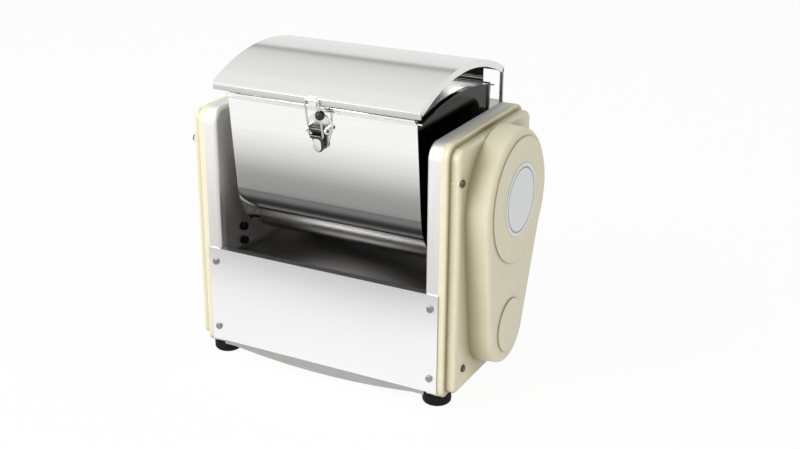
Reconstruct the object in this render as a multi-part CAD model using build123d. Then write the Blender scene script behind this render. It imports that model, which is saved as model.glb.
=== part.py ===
from build123d import *
import math
import os

# Horizontal-drum dough kneading machine.
# X runs along the drum, with the drive on the +X side. Y runs to the back, Z up from the floor.
# The pieces are drawn about the shaft: x = 0 at the middle of the drum, y = 0 on the shaft.
# All sizes are in millimetres and degrees.

# Stand and side assemblies
FOOT_HEIGHT = 14.0
FOOT_RADIUS = 16.5
FOOT_ROUND = 4.5
FOOT_INSET_Y = 18.0
FOOT_SCREW_RADIUS = 2.5
SIDE_GAP = 15.0
SIDE_MARGIN = 17.0
SIDE_OVER_SHAFT = 82.0
SIDE_CORNER = 18.0
FRAME_WIDTH = 16.0
SHEET = 1.5
BEND_RADIUS = 4.0
COVER_TIER_LOW = 8.0
COVER_TIER_HIGH = 12.0
COVER_TIER_INSET = 6.0
COVER_WALL = 2.5
COVER_EDGE = 4.5
COVER_RIM_EDGE = 2.5
COVER_BOSS_RADIUS = 5.5

# Drive cover, a pear-shaped moulding around two shafts
MOTOR_LEAN = 6.3
PEAR_TOP_CLEAR = 6.75
PEAR_LOW_CLEAR = 3.0
PEAR_DEPTH = 28.0
PEAR_DRAFT = 5.0
PEAR_EDGE = 7.0
PEAR_WALL = 3.0
PEAR_LAP = 9.0
PEAR_DISC_INSET = 10.0
PEAR_BOSS_INSET = 16.0
PEAR_STEP = 2.0
PEAR_STEP_ROUND = 1.2
BADGE_INSET = 29.5
BADGE_THICK = 0.6

# Front and rear panels, bottom pan and deck
PANEL_SHEET = 1.2
PANEL_LIFT = 5.4
FRONT_PANEL_OVER_DECK = 3.8
REAR_PANEL_UNDER_SHAFT = 35.0
PANEL_RETURN = 9.0
PANEL_SCREW_INSET = 9.0
PANEL_SCREW_STEP = 17.0
PAN_SAG = 7.5
PAN_FLAT = 14.0
PAN_UPSTAND = 18.0
DECK_OVER_MOTOR = 2.12
DECK_RISE = 12.0
DECK_EDGE_GAP = 13.0
DECK_TAB = 6.0
LOUVRE_COUNT = 9
LOUVRE_LENGTH = 70.0
LOUVRE_WIDTH = 3.0
LOUVRE_PITCH = 9.0
LOUVRE_OFFSET = 42.0
TIE_ROD_RADIUS = 5.0
TIE_ROD_INSET = 19.0
TIE_ROD_DROP = 18.0

# Drum
DRUM_HALF = 119.0
DRUM_DECK_GAP = 7.0
DRUM_SHEET = 1.5
DRUM_FLARE = 6.0
DRUM_RISE = 99.0
DRUM_ARCH_RISE = 13.0
DRUM_BEAD_RADIUS = 2.0
DRUM_RIM = 5.0
HUB_FLANGE_RADIUS = 34.0
HUB_FLANGE = 4.0
HUB_BOSS_RADIUS = 27.0
HUB_LENGTH = 11.0
HUB_SCREW_CIRCLE = 30.5
HUB_SCREW_HEAD_RADIUS = 3.0
HUB_SCREW_RADIUS = 1.0

# Shaft, bearings and kneading arm
SHAFT_RADIUS = 10.0
NOSE_RADIUS = 20.0
NOSE_GAP = 2.0
HOUSING_FLANGE_RADIUS = 36.0
HOUSING_FLANGE = 6.0
BEARING_RADIUS = 16.0
BEARING_WIDTH = 11.0
HOUSING_LIP = 5.0
HOUSING_SCREW_CIRCLE = 29.5
CAP_THICK = 2.0
RUN_CLEARANCE = 0.05
FIT_CLEARANCE = 0.02
ARM_INSET = 17.0
ARM_END_GAP = 17.0
ARM_BAR_RADIUS = 7.0
ARM_EYE_RADIUS = 8.5
ARM_THICK = 12.0
ARM_HUB_RADIUS = 17.0
ARM_HUB_LENGTH = 18.0
ARM_PIN_RADIUS = 3.0

# Gear train: motor pinion, two-step idler and shaft gear
GEAR_TEETH = 58
IDLER_SMALL_TEETH = 14
IDLER_LARGE_TEETH = 44
PINION_TEETH = 12
SLOW_MODULE = 2.5
FAST_MODULE = 2.0
GEAR_ADDENDUM = 0.7
GEAR_DEDENDUM = 1.0
GEAR_PRESSURE = 20.0
GEAR_BACKLASH = 0.35
GEAR_STAND_OFF = 7.0
GEAR_STEP_GAP = 3.0
FAST_WIDTH = 12.0
SLOW_WIDTH = 14.0
GEAR_WEB = 5.0
GEAR_RIM = 8.0
GEAR_HUB_RADIUS = 20.0
IDLER_AXLE_RADIUS = 6.0
IDLER_COLLAR_RADIUS = 8.4
MOTOR_SHAFT_RADIUS = 6.0

# Motor
CRADLE_RISE = 25.88
CRADLE_WIDTH = 24.0
CRADLE_HALF = 34.0
MOTOR_RADIUS = 40.0
MOTOR_LENGTH = 112.0
MOTOR_BELL = 14.0
MOTOR_BELL_ROUND = 9.8
MOTOR_FLANGE = 8.0
CAPACITOR_RADIUS = 17.0
CAPACITOR_LENGTH = 64.0
CAPACITOR_INSET = 43.0
CAPACITOR_X = -40.0
CLIP_THICK = 1.5

# Lid and its hinge
LID_SIDE_GAP = 4.5
LID_SHEET = 1.2
LID_OVERHANG = 6.5
LID_OVER_DRUM = 31.5
LID_RISE = 25.5
LID_LIP = 9.0
LID_UNDER_HINGE = 7.0
LID_HEM = 4.0
HINGE_UNDER_TOP = 27.0
HINGE_PIN_RADIUS = 3.0
HINGE_BARREL_RADIUS = 5.5
HINGE_EAR_LENGTH = 14.0
HINGE_BLOCK_INSET = 2.0
HINGE_BLOCK_LENGTH = 40.0
HINGE_BLOCK_THICK = 6.0

# Latch on the front wall of the drum
LATCH_UNDER_RIM = 21.0
LATCH_PLATE = 1.5
LATCH_TOP_RADIUS = 15.5
LATCH_LOW_RADIUS = 8.0
LATCH_PLATE_RISE = 2.0
LATCH_PLATE_DROP = 18.0
LATCH_PIN_OUT = 6.5
LATCH_PIN_RADIUS = 1.6
LATCH_BARREL_RADIUS = 3.6
LATCH_EAR_THICK = 2.5
LATCH_EAR_HALF = 13.0
LATCH_TONGUE = 26.0
LATCH_TONGUE_RADIUS = 6.5
LATCH_TONGUE_THICK = 2.0
BAIL_WIRE_RADIUS = 1.2
BAIL_BEND = 1.8
BAIL_DROP = 7.0
BAIL_OUT = 3.0
BAIL_UNDER_EDGE = 5.0
BAIL_CLEARANCE = 0.6
KNOB_RADIUS = 5.5
KNOB_SHARE = 0.62
KEEPER_HALF = 5.0
KEEPER_THICK = 1.2
KEEPER_DROP = 5.0

# Screws, inlet and switch
SCREW_HEAD_RADIUS = 4.0
SCREW_HEAD = 2.2
SCREW_HEAD_ROUND = 0.99
SCREW_RADIUS = 2.0
SCREW_CLEARANCE = 0.2
HIGH_SCREW_IN = 11.0
HIGH_SCREW_DOWN = 41.0
LOW_SCREW_IN = 24.0
LOW_SCREW_UP = 31.0
BUFFER_RADIUS = 5.0
BUFFER_LENGTH = 7.0
BUFFER_IN = 44.5
BUFFER_LIFT = 12.0
BUFFER_STEP = 18.0
GLAND_IN = 38.0
GLAND_UP = 38.0
GLAND_RADIUS = 9.0
GLAND_THREAD_RADIUS = 6.3
GLAND_DOME_RADIUS = 7.2
GLAND_DOME_LENGTH = 9.6
GLAND_BORE = 4.0
GLAND_LENGTH = 12.0
SWITCH_IN = 22.0
SWITCH_DOWN = 30.0
SWITCH_WIDTH = 22.0
SWITCH_TALL = 30.0
SWITCH_WALL = 1.5
SWITCH_BEZEL_PROUD = 3.0
SWITCH_BOX = 20.0
SWITCH_GAP = 0.4
SWITCH_CLEARANCE = 0.2
ROCKER_TILT = 9.0
ROCKER_DEEP = 4.5
ROCKER_PROUD = 6.0

# Gear train worked out from the sizes above
GEAR_RADIUS = SLOW_MODULE * GEAR_TEETH / 2
IDLER_SMALL_RADIUS = SLOW_MODULE * IDLER_SMALL_TEETH / 2
IDLER_LARGE_RADIUS = FAST_MODULE * IDLER_LARGE_TEETH / 2
PINION_RADIUS = FAST_MODULE * PINION_TEETH / 2
LEAN = math.radians(MOTOR_LEAN)
SLOW_CENTRES = GEAR_RADIUS + IDLER_SMALL_RADIUS
FAST_CENTRES = IDLER_LARGE_RADIUS + PINION_RADIUS
MOTOR_HEIGHT = FOOT_HEIGHT + CRADLE_RISE + MOTOR_RADIUS
SHAFT_HEIGHT = MOTOR_HEIGHT + (SLOW_CENTRES + FAST_CENTRES) * math.cos(LEAN)
SHAFT = (0.0, SHAFT_HEIGHT)
IDLER = (-SLOW_CENTRES * math.sin(LEAN), SHAFT_HEIGHT - SLOW_CENTRES * math.cos(LEAN))
MOTOR = (IDLER[0] - FAST_CENTRES * math.sin(LEAN), MOTOR_HEIGHT)
PEAR_TOP_RADIUS = GEAR_RADIUS + GEAR_ADDENDUM * SLOW_MODULE + PEAR_TOP_CLEAR
PEAR_LOW_RADIUS = IDLER_LARGE_RADIUS + PEAR_LOW_CLEAR
PEAR_DISC_RADIUS = PEAR_TOP_RADIUS - PEAR_DISC_INSET
PEAR_BOSS_RADIUS = PEAR_LOW_RADIUS - PEAR_BOSS_INSET
BADGE_RADIUS = PEAR_DISC_RADIUS - BADGE_INSET

# Heights, from the motor up to the lid
DECK_EDGE = MOTOR_HEIGHT + MOTOR_RADIUS + DECK_OVER_MOTOR
DECK_CROWN = DECK_EDGE + DECK_RISE
DRUM_RADIUS = SHAFT_HEIGHT - DECK_CROWN - DRUM_DECK_GAP
DRUM_TOP = SHAFT_HEIGHT + DRUM_RISE
DRUM_ARCH = DRUM_TOP + DRUM_ARCH_RISE
LID_APEX = DRUM_ARCH + LID_OVER_DRUM
LID_EDGE = LID_APEX - LID_RISE
SIDE_TOP = SHAFT_HEIGHT + SIDE_OVER_SHAFT
SIDE_HEIGHT = SIDE_TOP - FOOT_HEIGHT
PANEL_LOW = FOOT_HEIGHT + PANEL_LIFT
FRONT_PANEL_TOP = DECK_CROWN + FRONT_PANEL_OVER_DECK
REAR_PANEL_TOP = SHAFT_HEIGHT - REAR_PANEL_UNDER_SHAFT
TIE_ROD_Z = DECK_EDGE - TIE_ROD_DROP
HINGE_Z = SIDE_TOP - HINGE_UNDER_TOP
HINGE_BLOCK_LOW = HINGE_Z - HINGE_BLOCK_LENGTH
LID_SKIRT_LOW = HINGE_Z - LID_UNDER_HINGE
LATCH_HEIGHT = DRUM_TOP - LATCH_UNDER_RIM
BAIL_TOP = LID_EDGE - BAIL_UNDER_EDGE
BUFFER_HEIGHTS = (DECK_EDGE + BUFFER_LIFT, DECK_EDGE + BUFFER_LIFT + BUFFER_STEP)
GLAND_Z = FOOT_HEIGHT + GLAND_UP
SWITCH_Z = REAR_PANEL_TOP - SWITCH_DOWN

# Depths, front to back
SIDE_DEPTH = 2 * (DRUM_RADIUS + SIDE_MARGIN)
FRONT = -SIDE_DEPTH / 2
REAR = SIDE_DEPTH / 2
FLARE = math.radians(DRUM_FLARE)
ARM_RADIUS = DRUM_RADIUS - ARM_INSET
DECK_HALF_DEPTH = REAR - DECK_EDGE_GAP
TIE_ROD_Y = REAR - TIE_ROD_INSET
BUFFER_Y = FRONT + BUFFER_IN
CAPACITOR_Y = REAR - CAPACITOR_INSET
LID_REACH = REAR + LID_OVERHANG
COVER_SCREW_HIGH = (REAR - HIGH_SCREW_IN, SIDE_TOP - HIGH_SCREW_DOWN)
COVER_SCREW_LOW = (REAR - LOW_SCREW_IN, FOOT_HEIGHT + LOW_SCREW_UP)

# Places along the drum, from its ends out to the drive cover
INNER_HALF = DRUM_HALF + SIDE_GAP
WEB = INNER_HALF + SHEET
SEAM = INNER_HALF + FRAME_WIDTH
COVER_FACE = SEAM + COVER_TIER_LOW + COVER_TIER_HIGH
FAST_PLANE = SEAM + GEAR_STAND_OFF
SLOW_PLANE = FAST_PLANE + FAST_WIDTH + GEAR_STEP_GAP
HUB_END = DRUM_HALF + HUB_LENGTH
NOSE_END = DRUM_HALF + NOSE_GAP
HOUSING_END = WEB + HOUSING_FLANGE
BEARING_START = NOSE_END + HOUSING_LIP
ARM_HALF = DRUM_HALF - ARM_END_GAP
MOTOR_FLANGE_RADIUS = MOTOR_RADIUS
LID_HALF = INNER_HALF - LID_SIDE_GAP
GLAND_X = INNER_HALF - GLAND_IN
SWITCH_X = SWITCH_IN - INNER_HALF


# Drawing helpers

def side_plane(x):
    """Plane square to X, drawn with Y to the right and Z up."""
    return Plane(origin=(x, 0, 0), x_dir=(0, 1, 0), z_dir=(1, 0, 0))


def front_plane(y):
    """Plane square to Y, drawn with X to the right and Z up, facing the front."""
    return Plane(origin=(0, y, 0), x_dir=(1, 0, 0), z_dir=(0, -1, 0))


def along_x(sketch, start, end):
    return extrude(side_plane(start) * sketch, end - start)


def along_y(sketch, front, rear):
    return extrude(front_plane(rear) * sketch, rear - front)


def rod_x(centre, radius, start, end):
    return along_x(Pos(*centre) * Circle(radius), start, end)


def tube_x(centre, radius, bore, start, end):
    return along_x(Pos(*centre) * (Circle(radius) - Circle(bore)), start, end)


def on_both_sides(shape):
    return [shape, mirror(shape, about=Plane.YZ)]


def ring_points(centre, radius, count, first=45.0):
    for step in range(count):
        angle = math.radians(first + 360.0 * step / count)
        yield (centre[0] + radius * math.cos(angle), centre[1] + radius * math.sin(angle))


def screw_x(centre, seat, tip, head_radius=SCREW_HEAD_RADIUS, radius=SCREW_RADIUS):
    """Pan-head screw along X: the head stands on the seat, the shank ends at the tip."""
    outward = math.copysign(1.0, seat - tip)
    crown = seat + outward * SCREW_HEAD
    head = rod_x(centre, head_radius, min(seat, crown), max(seat, crown))
    rim = head.faces().sort_by(Axis.X)[-1 if outward > 0 else 0].edges()
    head = fillet(rim, SCREW_HEAD_ROUND)
    return head + rod_x(centre, radius, min(seat, tip), max(seat, tip))


def round_hull(first, first_radius, second, second_radius):
    """Two circles joined by their outer tangents."""
    span_y = second[0] - first[0]
    span_z = second[1] - first[1]
    heading = math.atan2(span_z, span_y)
    spread = math.acos((first_radius - second_radius) / math.hypot(span_y, span_z))
    corners = []
    for centre, radius, signs in ((first, first_radius, (1, -1)), (second, second_radius, (-1, 1))):
        for sign in signs:
            angle = heading + sign * spread
            corners.append((centre[0] + radius * math.cos(angle), centre[1] + radius * math.sin(angle)))
    flanks = make_face(Polyline(*corners, close=True))
    return flanks + Pos(*first) * Circle(first_radius) + Pos(*second) * Circle(second_radius)


def pear(inset):
    """Outline of the drive cover, drawn in by an inset."""
    return round_hull(SHAFT, PEAR_TOP_RADIUS - inset, MOTOR, PEAR_LOW_RADIUS - inset)


# Side assemblies

def side_outline(inset):
    plate = RectangleRounded(SIDE_DEPTH - 2 * inset, SIDE_HEIGHT - 2 * inset, SIDE_CORNER - inset)
    return Pos(0, FOOT_HEIGHT + SIDE_HEIGHT / 2) * plate


def cover_screw_places():
    for y, z in (COVER_SCREW_HIGH, COVER_SCREW_LOW):
        yield (-y, z)
        yield (y, z)


def foot_places():
    for x in (-1, 1):
        for y in (-1, 1):
            yield (x * (INNER_HALF + SEAM) / 2, y * (SIDE_DEPTH / 2 - FOOT_INSET_Y))


def side_frame():
    """Folded steel pan: a flat web with a flange bent outwards all round."""
    pan = along_x(side_outline(0), INNER_HALF, SEAM)
    pan = fillet(pan.faces().sort_by(Axis.X)[0].edges(), BEND_RADIUS)
    hollow = along_x(side_outline(SHEET), WEB, SEAM)
    hollow = fillet(hollow.faces().sort_by(Axis.X)[0].edges(), BEND_RADIUS - SHEET)
    pan -= hollow
    pan -= rod_x(SHAFT, NOSE_RADIUS + SCREW_CLEARANCE, INNER_HALF, WEB)
    for place in ring_points(SHAFT, HOUSING_SCREW_CIRCLE, 4):
        pan -= rod_x(place, SCREW_RADIUS + SCREW_CLEARANCE, INNER_HALF, WEB)
    for y in (-TIE_ROD_Y, TIE_ROD_Y):
        pan -= rod_x((y, TIE_ROD_Z), SCREW_RADIUS + SCREW_CLEARANCE, INNER_HALF, WEB)
    for x, y in foot_places():
        if x > 0:
            pan -= Pos(x, y, FOOT_HEIGHT) * Cylinder(FOOT_SCREW_RADIUS + SCREW_CLEARANCE, 3 * SHEET)
    for panel_top, y in ((FRONT_PANEL_TOP, FRONT), (REAR_PANEL_TOP, REAR)):
        for z in panel_screw_heights(panel_top):
            hole = Circle(SCREW_RADIUS + SCREW_CLEARANCE)
            pan -= along_y(Pos(SEAM - PANEL_SCREW_INSET, z) * hole, y - 2 * SHEET, y + 2 * SHEET)
    for z in hinge_screw_heights():
        hole = Circle(SCREW_RADIUS + SCREW_CLEARANCE)
        pan -= along_y(Pos((INNER_HALF + SEAM) / 2, z) * hole, REAR - 2 * SHEET, REAR + SHEET)
    return pan


def right_side_frame():
    pan = side_frame()
    pan -= rod_x(MOTOR, MOTOR_SHAFT_RADIUS + 2 * SHEET, INNER_HALF, WEB)
    for place in ring_points(MOTOR, MOTOR_FLANGE_RADIUS - 2 * SCREW_HEAD_RADIUS, 4):
        pan -= rod_x(place, SCREW_RADIUS + SCREW_CLEARANCE, INNER_HALF, WEB)
    pan -= rod_x(IDLER, IDLER_AXLE_RADIUS + SCREW_CLEARANCE, INNER_HALF, WEB)
    return pan


def side_cover():
    """Moulded cover: a low rim, a step, then a raised field with a round edge."""
    low = along_x(side_outline(0), SEAM, SEAM + COVER_TIER_LOW)
    low = fillet(low.faces().sort_by(Axis.X)[-1].edges(), COVER_RIM_EDGE)
    high = along_x(side_outline(COVER_TIER_INSET), SEAM, COVER_FACE)
    high = fillet(high.faces().sort_by(Axis.X)[-1].edges(), COVER_EDGE)
    shell = low + high
    shell -= along_x(side_outline(COVER_WALL), SEAM, SEAM + COVER_TIER_LOW - COVER_WALL)
    shell -= along_x(side_outline(COVER_TIER_INSET + COVER_WALL), SEAM, COVER_FACE - COVER_WALL)
    for place in cover_screw_places():
        shell += rod_x(place, COVER_BOSS_RADIUS, WEB, COVER_FACE - COVER_WALL / 2)
        shell -= rod_x(place, SCREW_RADIUS + SCREW_CLEARANCE, WEB, COVER_FACE)
    return shell


def right_side_cover():
    window = along_x(pear(PEAR_LAP), COVER_FACE - 2 * COVER_WALL, COVER_FACE)
    return side_cover() - window


def gear_cover():
    """Pear-shaped moulding with drafted sides, a raised disc and a small raised boss."""
    face = COVER_FACE + PEAR_DEPTH
    shell = extrude(side_plane(COVER_FACE) * pear(0), PEAR_DEPTH, taper=PEAR_DRAFT)
    shell = fillet(shell.faces().sort_by(Axis.X)[-1].edges(), PEAR_EDGE)
    hollow = extrude(side_plane(COVER_FACE) * pear(PEAR_WALL), PEAR_DEPTH - PEAR_WALL, taper=PEAR_DRAFT)
    shell -= hollow
    for centre, radius in ((SHAFT, PEAR_DISC_RADIUS), (MOTOR, PEAR_BOSS_RADIUS)):
        boss = rod_x(centre, radius, face - PEAR_WALL / 2, face + PEAR_STEP)
        shell += fillet(boss.faces().sort_by(Axis.X)[-1].edges(), PEAR_STEP_ROUND)
    return shell


def cover_badge():
    face = COVER_FACE + PEAR_DEPTH + PEAR_STEP
    return rod_x(SHAFT, BADGE_RADIUS, face, face + BADGE_THICK)


def cover_screws():
    screws = [screw_x(place, COVER_FACE, WEB + 2 * SHEET) for place in cover_screw_places()]
    return [one for screw in screws for one in on_both_sides(screw)]


# Stand

def rubber_feet():
    feet = []
    for x, y in foot_places():
        foot = Pos(x, y, FOOT_HEIGHT / 2) * Cylinder(FOOT_RADIUS, FOOT_HEIGHT)
        foot = fillet(foot.faces().sort_by(Axis.Z)[0].edges(), FOOT_ROUND)
        recess = Pos(x, y, FOOT_HEIGHT / 4) * Cylinder(FOOT_RADIUS / 2, FOOT_HEIGHT / 2)
        bore = Pos(x, y, FOOT_HEIGHT / 2) * Cylinder(FOOT_SCREW_RADIUS + SCREW_CLEARANCE, FOOT_HEIGHT)
        feet.append(foot - recess - bore)
    return feet


def foot_screws():
    screws = []
    seat = FOOT_HEIGHT / 2
    tip = FOOT_HEIGHT + SHEET + FOOT_SCREW_RADIUS
    for x, y in foot_places():
        head = Pos(x, y, seat - SCREW_HEAD / 2) * Cylinder(2 * FOOT_SCREW_RADIUS, SCREW_HEAD)
        shank = Pos(x, y, (seat + tip) / 2) * Cylinder(FOOT_SCREW_RADIUS, tip - seat)
        screws.append(head + shank)
    return screws


def pan_section(lift, top):
    """Section of the pan's inside: flat margins, and a floor that bows down between them."""
    half = INNER_HALF - PAN_FLAT
    floor = FOOT_HEIGHT + lift
    bow = ThreePointArc((-half, floor), (0, floor - PAN_SAG), (half, floor))
    rest = Polyline((half, floor), (INNER_HALF, floor), (INNER_HALF, top), (-INNER_HALF, top),
                    (-INNER_HALF, floor), (-half, floor))
    return make_face(bow + rest)


def bottom_pan():
    """Tray between the side frames, with low walls behind the panels."""
    depth = REAR
    top = FOOT_HEIGHT + PAN_UPSTAND
    tray = along_y(pan_section(0, top), -depth, depth)
    inside = along_y(pan_section(PANEL_SHEET, top), PANEL_SHEET - depth, depth - PANEL_SHEET)
    inside &= Pos(0, 0, FOOT_HEIGHT) * Box(2 * (INNER_HALF - PANEL_SHEET), 2 * depth, 4 * PAN_UPSTAND)
    return tray - inside


# Panels, deck and tie rods

def panel_screw_heights(top):
    return (PANEL_LOW + PANEL_SCREW_STEP, top - PANEL_SCREW_STEP)


def panel(top):
    """Sheet over the front flanges, with its upper and lower edges folded in."""
    sheet = Pos(0, (PANEL_LOW + top) / 2) * Rectangle(2 * SEAM, top - PANEL_LOW)
    for x in (-1, 1):
        for z in panel_screw_heights(top):
            sheet -= Pos(x * (SEAM - PANEL_SCREW_INSET), z) * Circle(SCREW_RADIUS + SCREW_CLEARANCE)
    shape = along_y(sheet, FRONT - PANEL_SHEET, FRONT)
    fold = Rectangle(2 * (INNER_HALF - SHEET), PANEL_SHEET)
    shape += along_y(Pos(0, top - PANEL_SHEET / 2) * fold, FRONT, FRONT + PANEL_RETURN)
    return shape


def front_panel():
    return panel(FRONT_PANEL_TOP)


def switch_box_outline(grow):
    return Pos(-SWITCH_X, SWITCH_Z) * Rectangle(SWITCH_WIDTH + 2 * grow, SWITCH_TALL + 2 * grow)


def rear_panel():
    """Taller rear sheet with cooling slots, the cord inlet and the switch window."""
    shape = panel(REAR_PANEL_TOP)
    slot = SlotOverall(LOUVRE_LENGTH, LOUVRE_WIDTH)
    for column in (-1, 1):
        for row in range(LOUVRE_COUNT):
            place = Pos(column * LOUVRE_OFFSET, MOTOR_HEIGHT + (row - (LOUVRE_COUNT - 1) / 2) * LOUVRE_PITCH)
            shape -= along_y(place * slot, FRONT - PANEL_SHEET, FRONT)
    shape -= along_y(Pos(-GLAND_X, GLAND_Z) * Circle(GLAND_THREAD_RADIUS), FRONT - PANEL_SHEET, FRONT)
    shape -= along_y(switch_box_outline(SWITCH_WALL + SWITCH_CLEARANCE), FRONT - PANEL_SHEET, FRONT)
    return Rot(0, 0, 180) * shape


def panel_screws():
    screws = []
    for top, turn in ((FRONT_PANEL_TOP, 0), (REAR_PANEL_TOP, 180)):
        for x in (-1, 1):
            for z in panel_screw_heights(top):
                place = Pos(x * (SEAM - PANEL_SCREW_INSET), z)
                face = FRONT - PANEL_SHEET
                head = along_y(place * Circle(SCREW_HEAD_RADIUS), face - SCREW_HEAD, face)
                head = fillet(head.faces().sort_by(Axis.Y)[0].edges(), SCREW_HEAD_ROUND)
                shank = along_y(place * Circle(SCREW_RADIUS), face, FRONT + 4 * SHEET)
                screws.append(Rot(0, 0, turn) * (head + shank))
    return screws


def motor_deck():
    """Crowned sheet between drum and motor, with tabs bent up against the side frames."""
    def under(lift):
        edge = DECK_EDGE + lift
        crown = ThreePointArc((-INNER_HALF, edge), (0, DECK_CROWN + lift), (INNER_HALF, edge))
        base = Polyline((INNER_HALF, edge), (INNER_HALF, DECK_EDGE - DECK_TAB),
                        (-INNER_HALF, DECK_EDGE - DECK_TAB), (-INNER_HALF, edge))
        return make_face(crown + base)

    section = under(0) - under(-PANEL_SHEET)
    for side in (-1, 1):
        place = Pos(side * (INNER_HALF - PANEL_SHEET / 2), DECK_EDGE + DECK_TAB / 2 - PANEL_SHEET)
        section += place * Rectangle(PANEL_SHEET, DECK_TAB)
    return along_y(section, -DECK_HALF_DEPTH, DECK_HALF_DEPTH)


def tie_rods():
    rods = []
    for y in (-TIE_ROD_Y, TIE_ROD_Y):
        place = (y, TIE_ROD_Z)
        rod = rod_x(place, TIE_ROD_RADIUS, -INNER_HALF, INNER_HALF)
        hole = rod_x(place, SCREW_RADIUS + SCREW_CLEARANCE, INNER_HALF - 4 * TIE_ROD_RADIUS, INNER_HALF)
        for end in on_both_sides(hole):
            rod -= end
        rods.append(rod)
    return rods


def tie_rod_screws():
    screws = [screw_x((y, TIE_ROD_Z), WEB, INNER_HALF - 3 * TIE_ROD_RADIUS) for y in (-TIE_ROD_Y, TIE_ROD_Y)]
    return [one for screw in screws for one in on_both_sides(screw)]


def side_buffers():
    buffers = []
    for z in BUFFER_HEIGHTS:
        buffer = rod_x((BUFFER_Y, z), BUFFER_RADIUS, INNER_HALF - BUFFER_LENGTH, INNER_HALF)
        buffer = fillet(buffer.faces().sort_by(Axis.X)[0].edges(), SHEET)
        buffers += on_both_sides(buffer)
    return buffers


# Bearings and shaft

def bearing_housing():
    """Flanged housing bolted to the web; the drum turns on its nose."""
    body = rod_x(SHAFT, NOSE_RADIUS, NOSE_END, WEB)
    body += rod_x(SHAFT, HOUSING_FLANGE_RADIUS, WEB, HOUSING_END)
    body -= rod_x(SHAFT, BEARING_RADIUS, BEARING_START, HOUSING_END)
    body -= rod_x(SHAFT, SHAFT_RADIUS + SHEET, NOSE_END, BEARING_START)
    for place in ring_points(SHAFT, HOUSING_SCREW_CIRCLE, 4):
        body -= rod_x(place, SCREW_RADIUS + SCREW_CLEARANCE, WEB, HOUSING_END)
    return body


def shaft_bearings():
    """Sealed bearings with a shallow groove between their two races on each face."""
    middle = (BEARING_RADIUS + SHAFT_RADIUS) / 2
    ring = tube_x(SHAFT, BEARING_RADIUS - FIT_CLEARANCE, SHAFT_RADIUS + RUN_CLEARANCE,
                  BEARING_START, BEARING_START + BEARING_WIDTH)
    groove = tube_x(SHAFT, middle + SHEET, middle - SHEET,
                    BEARING_START + BEARING_WIDTH - SHEET / 2, BEARING_START + BEARING_WIDTH)
    return on_both_sides(ring - groove)


def bearing_caps():
    """Clamp rings that hold the bearings in, fixed by the housing screws."""
    spigot_end = BEARING_START + BEARING_WIDTH
    cap = tube_x(SHAFT, HOUSING_FLANGE_RADIUS, SHAFT_RADIUS + SHEET, HOUSING_END, HOUSING_END + CAP_THICK)
    cap += tube_x(SHAFT, BEARING_RADIUS - FIT_CLEARANCE, SHAFT_RADIUS + SHEET, spigot_end, HOUSING_END)
    for place in ring_points(SHAFT, HOUSING_SCREW_CIRCLE, 4):
        cap -= rod_x(place, SCREW_RADIUS + SCREW_CLEARANCE, HOUSING_END, HOUSING_END + CAP_THICK)
    return on_both_sides(cap)


def housing_screws():
    screws = [screw_x(place, HOUSING_END + CAP_THICK, INNER_HALF - SHEET)
              for place in ring_points(SHAFT, HOUSING_SCREW_CIRCLE, 4)]
    return [one for screw in screws for one in on_both_sides(screw)]


def drive_shaft():
    shaft = rod_x(SHAFT, SHAFT_RADIUS, ARM_HALF - ARM_HUB_LENGTH / 2, SLOW_PLANE + SLOW_WIDTH + 2 * SHEET)
    return shaft - arm_pin_hole(ARM_HALF)


def idle_shaft():
    shaft = rod_x(SHAFT, SHAFT_RADIUS, -BEARING_START - BEARING_WIDTH, ARM_HUB_LENGTH / 2 - ARM_HALF)
    return shaft - arm_pin_hole(-ARM_HALF)


def arm_pin_hole(x):
    return along_y(Pos(x, SHAFT_HEIGHT) * Circle(ARM_PIN_RADIUS), -ARM_HUB_RADIUS, ARM_HUB_RADIUS)


def arm_pins():
    pin = Circle(ARM_PIN_RADIUS - FIT_CLEARANCE)
    places = [Pos(x, SHAFT_HEIGHT) for x in (-ARM_HALF, ARM_HALF)]
    return [along_y(place * pin, -ARM_HUB_RADIUS, ARM_HUB_RADIUS) for place in places]


def kneading_arm():
    """Two opposed end arms joined by a round bar that winds half a turn between them."""
    path = Helix(pitch=4 * ARM_HALF, height=2 * ARM_HALF, radius=ARM_RADIUS)
    bar = sweep(Plane(origin=path @ 0, z_dir=path % 0) * Circle(ARM_BAR_RADIUS), path)
    arm = Pos(-ARM_HALF, 0, SHAFT_HEIGHT) * Rot(0, 90, 0) * bar
    for x, reach in ((-ARM_HALF, -ARM_RADIUS), (ARM_HALF, ARM_RADIUS)):
        web = Pos(0, SHAFT_HEIGHT + reach / 2) * Rectangle(2 * ARM_BAR_RADIUS, ARM_RADIUS)
        web += Pos(0, SHAFT_HEIGHT + reach) * Circle(ARM_EYE_RADIUS)
        arm += along_x(web, x - ARM_THICK / 2, x + ARM_THICK / 2)
        arm += rod_x(SHAFT, ARM_HUB_RADIUS, x - ARM_HUB_LENGTH / 2, x + ARM_HUB_LENGTH / 2)
        arm -= rod_x(SHAFT, SHAFT_RADIUS + RUN_CLEARANCE, x - ARM_HUB_LENGTH / 2, x + ARM_HUB_LENGTH / 2)
        arm -= arm_pin_hole(x)
    return arm


# Drum

def wall_point(radius, height):
    """Point of the flared front wall at a height, for a drum of that radius."""
    y = -radius * math.cos(FLARE)
    z = SHAFT_HEIGHT - radius * math.sin(FLARE)
    return (y - (height - z) * math.tan(FLARE), height)


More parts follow.
